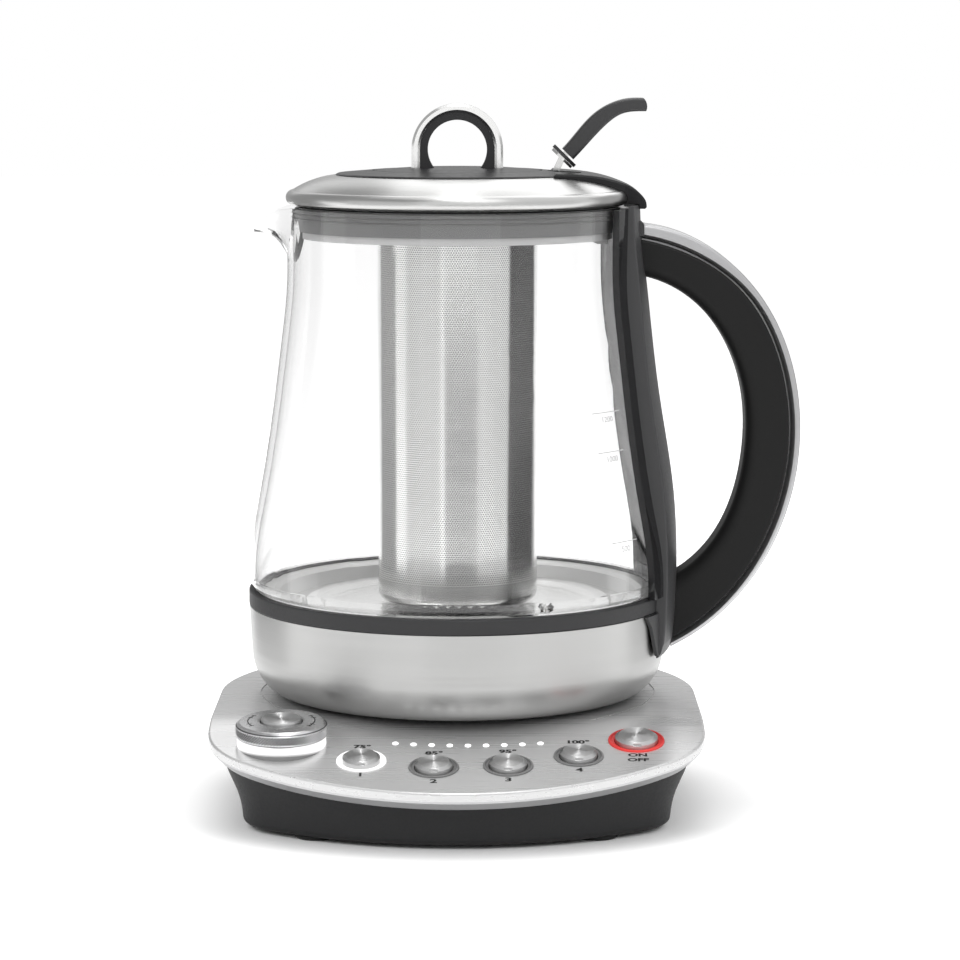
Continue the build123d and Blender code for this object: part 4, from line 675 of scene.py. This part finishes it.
# %% [markdown]
# ## Knurled dial
# The real dial is metal with a diamond knurl round its rim. The solid model has plain flutes
# there, so a detailed mesh stands in for it: a section of the same size is spun round the
# dial's axis, and then every second point of the rim is pushed in, in a chequer pattern, which
# leaves small pyramids. They are drawn a little coarser than real ones, or they would blur at
# this distance.

# %% The dial's own frame
LIP_RISE = 0.3 * MM
dial_joint = next(joint for joint in frame["joints"] if joint["name"] == "dial_turn")
dial_up = Vector(dial_joint["axis"]).normalized()
upright = dial_up.to_track_quat("Z", "Y").to_matrix().to_4x4()
DIAL_FRAME = Matrix.Translation(dial_joint["pos_m"]) @ upright
to_dial = DIAL_FRAME.inverted()
dial_points = [to_dial @ v.co for v in frame["nodes"]["dial"].data.vertices]
DIAL_R = max(math.hypot(p.x, p.y) for p in dial_points)
DIAL_LOW = min(p.z for p in dial_points)
DIAL_LIP = max(p.z for p in dial_points)
DIAL_TOP = DIAL_LIP - LIP_RISE
WELL_R = min(math.hypot(p.x, p.y) for p in dial_points if p.z > DIAL_TOP - 1.0 * MM)
TOP_OUTER = DIAL_R - 1.5 * MM
TOP_INNER = WELL_R + 1.0 * MM
print("dial: radius", DIAL_R / MM, "from", DIAL_LOW / MM, "to", DIAL_LIP / MM, "mm, well", WELL_R / MM)

# %% Spin and knurl
KNURL_AROUND = 180
KNURL_ROWS = 7
KNURL_DEPTH = 0.36 * MM
KNURL_LOW = DIAL_LOW + 0.6 * MM
KNURL_HIGH = DIAL_TOP - 1.3 * MM
WELL_FLOOR = DIAL_LOW + 2.2 * MM
SHAFT_R = 4.0 * MM
NEAR_RIM = 0.01 * MM


def dial_section(row):
    """Radius and height of each point, up the outside, over the top and down into the well."""
    return [
        (SHAFT_R, DIAL_LOW),
        (DIAL_R - 0.5 * MM, DIAL_LOW),
        (DIAL_R - 0.2 * MM, DIAL_LOW + 0.3 * MM),
        *[(DIAL_R, KNURL_LOW + row * index) for index in range(KNURL_ROWS + 1)],
        (DIAL_R - 0.35 * MM, DIAL_TOP - 1.0 * MM),
        (DIAL_R - 1.1 * MM, DIAL_TOP - 0.25 * MM),
        (TOP_OUTER, DIAL_TOP),
        (WELL_R + 1.3 * MM, DIAL_LIP - 0.02 * MM),
        (TOP_INNER, DIAL_LIP),
        (WELL_R + 0.2 * MM, DIAL_LIP - 0.25 * MM),
        (WELL_R, DIAL_LIP - 0.7 * MM),
        (WELL_R, WELL_FLOOR),
        (SHAFT_R, WELL_FLOOR),
    ]


def make_knurled_dial():
    """Turned dial with a diamond knurl round its rim."""
    row = (KNURL_HIGH - KNURL_LOW) / KNURL_ROWS
    bm = bmesh.new()
    points = [bm.verts.new((radius, 0, height)) for radius, height in dial_section(row)]
    edges = [bm.edges.new((a, b)) for a, b in zip(points, points[1:] + points[:1])]
    whole_turn = {"angle": 2 * math.pi, "steps": KNURL_AROUND, "use_merge": True}
    bmesh.ops.spin(bm, geom=points + edges, axis=(0, 0, 1), cent=(0, 0, 0), **whole_turn)
    for vert in bm.verts:
        radius = math.hypot(vert.co.x, vert.co.y)
        level = (vert.co.z - KNURL_LOW) / row
        if radius > DIAL_R - NEAR_RIM and 0.5 < level < KNURL_ROWS - 0.5:
            around = round(math.atan2(vert.co.y, vert.co.x) / (2 * math.pi) * KNURL_AROUND)
            if (around + round(level)) % 2:
                vert.co.xy *= 1 - KNURL_DEPTH / DIAL_R
    bmesh.ops.recalc_face_normals(bm, faces=bm.faces)
    bmesh.ops.transform(bm, matrix=DIAL_FRAME, verts=bm.verts)
    print("knurled dial:", len(bm.faces), "faces")
    return add_object("knurled_dial", bm, knurled_aluminium)


dial_piece = make_knurled_dial()
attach(dial_piece, "dial")
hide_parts("dial")

# %% [markdown]
# The grooves of a knurl lie in shade, which is what makes the diamonds show. The finish paints
# that shade: it darkens the metal with its depth below the rim, measured from the dial's own axis.
# Everything well inside the rim, such as the dial's top, stays unshaded.

# %% Shade the grooves
GROOVE_FULL_SHADE = DIAL_R - 0.62 * KNURL_DEPTH
GROOVE_NO_SHADE = DIAL_R - 0.38 * KNURL_DEPTH
INSIDE_RIM = DIAL_R - 1.2 * KNURL_DEPTH


def shade_grooves(tree, groove_shade_colour, metal_colour):
    """Paint shade into the dial's metal in the grooves of its rim."""
    forward_tilt = math.atan2(-dial_up.y, dial_up.z)
    radius, _, _ = polar(tree, dial_joint["pos_m"], forward_tilt)
    span = {"From Min": GROOVE_FULL_SHADE, "From Max": GROOVE_NO_SHADE}
    on_ridge = node(tree, "MapRange", {"Value": radius, **span})
    inside = node(tree, "Math", {0: radius, 1: INSIDE_RIM}, operation="LESS_THAN")
    unshaded = node(tree, "Math", {0: on_ridge, 1: inside}, operation="MAXIMUM")
    # painted shade: the dark groove colour where the rim dips in
    colours = {0: unshaded, 6: linear(groove_shade_colour), 7: linear(metal_colour)}
    shade = node(tree, "Mix", colours, data_type="RGBA").outputs[2]
    connect(tree, tree.nodes["Principled BSDF"], {"Base Color": shade})


shade_grooves(knurled_aluminium.node_tree, "#242425", "#D8D8D9")
print("grooves dark below radius", GROOVE_FULL_SHADE / MM, "mm")

# %% [markdown]
# ## Marks on the dial
# Two arcs with short ticks on their ends tell the hand that the dial turns both ways. They are
# thin dark strips, spun from a short line and laid a few hundredths above the dial's top.

# %% Dial marks
MARK_LIFT = 0.03 * MM
MARK_R = 12.2 * MM
ARC_HALF_WIDTH = 0.2 * MM
TICK_HALF_LENGTH = 1.0 * MM
ARC_END = 32  # degrees from the arc's middle, as the next one
TICK_ANGLES = (-32, -20, 20, 32)
ARC_STEPS = 24
TICK_STEPS = 2


def top_of_dial(radius):
    """Height of the dial's gently rising top at a radius."""
    rise = (TOP_OUTER - radius) / (TOP_OUTER - TOP_INNER) * (DIAL_LIP - DIAL_TOP)
    return DIAL_TOP + rise + MARK_LIFT


def arc_strip(bm, half_width, start, sweep, steps):
    """Flat strip round the dial's top, from a start angle on, in degrees."""
    turn = Matrix.Rotation(math.radians(start), 4, "Z")
    radii = (MARK_R - half_width, MARK_R + half_width)
    ends = [bm.verts.new(turn @ Vector((radius, 0, top_of_dial(radius)))) for radius in radii]
    line = [*ends, bm.edges.new(ends)]
    part_turn = {"angle": math.radians(sweep), "steps": steps}
    bmesh.ops.spin(bm, geom=line, axis=(0, 0, 1), cent=(0, 0, 0), **part_turn)


def make_dial_marks():
    """Arc and ticks at the left and at the right of the dial."""
    bm = bmesh.new()
    for side in (0, 180):
        arc_strip(bm, ARC_HALF_WIDTH, side - ARC_END, 2 * ARC_END, ARC_STEPS)
        for tick in TICK_ANGLES:
            arc_strip(bm, TICK_HALF_LENGTH, side + tick - 1, 2, TICK_STEPS)
    bmesh.ops.recalc_face_normals(bm, faces=bm.faces)
    if sum(face.normal.z for face in bm.faces) < 0:
        bmesh.ops.reverse_faces(bm, faces=bm.faces)
    bmesh.ops.transform(bm, matrix=DIAL_FRAME, verts=bm.verts)
    print("dial marks:", len(bm.faces), "faces")
    return add_object("dial_marks", bm, print_black)


dial_marks = make_dial_marks()
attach(dial_marks, "dial")

# %% [markdown]
# ## Print on the panel
# The panel carries a temperature above each button, a plain digit below it, and ON / OFF at
# the power button, as a screen print would. Each text is made a mesh, then laid on the plate:
# a ray down onto the plate finds its height, and the plate's normal there sets its tilt.

# %% Print helpers
PRINT_LIFT = 0.03 * MM
PRINT_WIDEN = 1.25
RAY_START = 0.2
plate_mesh = bmesh.new()
plate_mesh.from_mesh(frame["nodes"]["top_plate"].data)
plate_surface = BVHTree.FromBMesh(plate_mesh)
plate_mesh.free()


def plate_frame(x, y, beside=0.0):
    """Frame on the plate, its Z the plate's normal; over a hole the ray goes beside it."""
    start = Vector((x + beside, y, RAY_START))
    point, normal, _, _ = plate_surface.ray_cast(start, Vector((0, 0, -1)))
    point.x -= beside
    up = normal.cross(Vector((1, 0, 0))).normalized()
    axes = Matrix((up.cross(normal).normalized(), up, normal)).transposed()
    return Matrix.Translation(point + normal * PRINT_LIFT) @ axes.to_4x4()


def text_mesh(words, size, bold):
    """Flat mesh of a text, centred on its origin, in its own XY plane."""
    curve = bpy.data.curves.new("text", "FONT")
    curve.body = words
    curve.size = size
    curve.offset = bold
    curve.align_x = "CENTER"
    curve.align_y = "CENTER"
    holder = bpy.data.objects.new("text", curve)
    scene.collection.objects.link(holder)
    bpy.context.view_layer.update()
    evaluated = holder.evaluated_get(bpy.context.evaluated_depsgraph_get())
    mesh = bpy.data.meshes.new_from_object(evaluated)
    bpy.data.objects.remove(holder)
    return mesh


def add_text(bm, words, place, size, bold):
    """Add a text to a bmesh, widened and moved to its place."""
    mesh = text_mesh(words, size, bold)
    mesh.transform(place @ Matrix.Diagonal((PRINT_WIDEN, 1, 1, 1)))
    bm.from_mesh(mesh)
    bpy.data.meshes.remove(mesh)


# %% [markdown]
# Every text is placed from the middle of its button, so it follows if the model moves one.

# %% Lay the print
DEGREES = ("75°", "85°", "95°", "100°")
DEGREES_SIZE = 3.7 * MM
DIGIT_SIZE = 4.2 * MM
SWITCH_SIZE = 3.5 * MM
PRINT_BOLD = 0.14 * MM
TEXT_BEHIND = 10.9 * MM
TEXT_BEFORE = 12.2 * MM
SWITCH_BEFORE = TEXT_BEFORE + 0.8 * MM
LINE_STEP = 4.0 * MM


def cap_centre(name):
    """Middle of a control, seen from above."""
    low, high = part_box(name)
    return (low.x + high.x) / 2, (low.y + high.y) / 2


def make_panel_print():
    """All lettering on the panel as one flat piece."""
    bm = bmesh.new()
    for index, degrees in enumerate(DEGREES, start=1):
        x, y = cap_centre(f"temperature_button_{index}")
        add_text(bm, degrees, plate_frame(x, y + TEXT_BEHIND), DEGREES_SIZE, PRINT_BOLD)
        add_text(bm, str(index), plate_frame(x, y - TEXT_BEFORE), DIGIT_SIZE, PRINT_BOLD)
    x, y = cap_centre("power_button")
    for line, words in enumerate(("ON", "OFF")):
        place = plate_frame(x, y - SWITCH_BEFORE - line * LINE_STEP)
        add_text(bm, words, place, SWITCH_SIZE, PRINT_BOLD)
    print("panel print:", len(bm.faces), "faces")
    return add_object("panel_print", bm, print_black)


panel_print = make_panel_print()
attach(panel_print, "base")

# %% [markdown]
# ## Lenses of the lights
# Each light pipe ends in a small milky lens on the panel: a flattened sphere, half of it above
# the surface and half hidden in the pipe. The nine stand in a row on a wide arc.

# %% Nine lenses
LENS_COUNT = 9
LENS_R = 1.15 * MM
LENS_RISE = 0.45 * MM
LENS_PITCH = 6.6 * MM
LENS_ARC_R = 190.0 * MM
LENS_FRONT = 79.3 * MM  # from the kettle's axis to the middle lens
RAY_BESIDE = 2 * MM


def make_lenses():
    """Row of nine domed lenses on a shallow arc."""
    low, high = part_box("led_light_pipes")
    middle_x = (low.x + high.x) / 2
    front_y = AXIS.y - LENS_FRONT
    bm = bmesh.new()
    for index in range(LENS_COUNT):
        x = (index - (LENS_COUNT - 1) / 2) * LENS_PITCH
        y = front_y + LENS_ARC_R - math.sqrt(LENS_ARC_R**2 - x**2)
        place = plate_frame(middle_x + x, y, beside=RAY_BESIDE)
        shape = place @ Matrix.Diagonal((LENS_R, LENS_R, LENS_RISE, 1))
        bmesh.ops.create_uvsphere(bm, u_segments=24, v_segments=12, radius=1.0, matrix=shape)
    print("lenses:", LENS_COUNT, "with", len(bm.faces), "faces")
    return add_object("light_lenses", bm, lens_white)


lenses = make_lenses()
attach(lenses, "base")

# %% [markdown]
# ## Level marks on the glass
# Three thin pale lines with plain amounts are printed on the glass, in front of the handle.
# The glass swells, so each point of the print is pushed out onto the wall by a ray from
# outside towards the axis.

# %% Marks on the wall
LEVELS = (  # amount, mm above the plate, left and right end in degrees from the front
    ("1200", 112.5, 45.2, 59.4),
    ("1000", 97.9, 46.2, 59.0),
    ("500", 64.85, 46.9, 59.1),
)
LINE_WIDTH = 0.35 * MM
LINE_STEPS = 24
AMOUNT_DROP = 2.7 * MM
AMOUNT_SIZE = 2.9 * MM
AMOUNT_BOLD = 0.04 * MM
WALL_LIFT = 0.05 * MM
OUTSIDE_R = 0.15
glass_mesh = bmesh.new()
glass_mesh.from_mesh(frame["nodes"]["glass_jug"].data)
glass_wall = BVHTree.FromBMesh(glass_mesh)
glass_mesh.free()


def on_wall(azimuth, height):
    """Point just outside the glass; azimuth in radians from the front, + to the right."""
    outward = Vector((math.sin(azimuth), -math.cos(azimuth), 0))
    start = AXIS + outward * OUTSIDE_R + Vector((0, 0, height))
    point, _, _, _ = glass_wall.ray_cast(start, -outward)
    return point + outward * WALL_LIFT


def make_level_marks():
    """Three lines and their amounts, wrapped on the glass."""
    bm = bmesh.new()
    for words, height_mm, left, right in LEVELS:
        height = PLATE_TOP + height_mm * MM
        middle = math.radians((left + right) / 2)
        radius = (on_wall(middle, height) - AXIS).xy.length
        length = math.radians(right - left) * radius
        line = Matrix.Diagonal((length, LINE_WIDTH, 1, 1))
        below = Matrix.Translation((0, -AMOUNT_DROP, 0))
        flat = bmesh.new()
        bmesh.ops.create_grid(flat, x_segments=LINE_STEPS, y_segments=1, size=0.5, matrix=line)
        add_text(flat, words, below, AMOUNT_SIZE, AMOUNT_BOLD)
        for vert in flat.verts:
            vert.co = on_wall(middle + vert.co.x / radius, height + vert.co.y)
        wrapped = bpy.data.meshes.new(words)
        flat.to_mesh(wrapped)
        flat.free()
        bm.from_mesh(wrapped)
        bpy.data.meshes.remove(wrapped)
    print("level marks:", len(bm.faces), "faces")
    return add_object("level_marks", bm, print_white)


level_marks = make_level_marks()
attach(level_marks, "kettle")
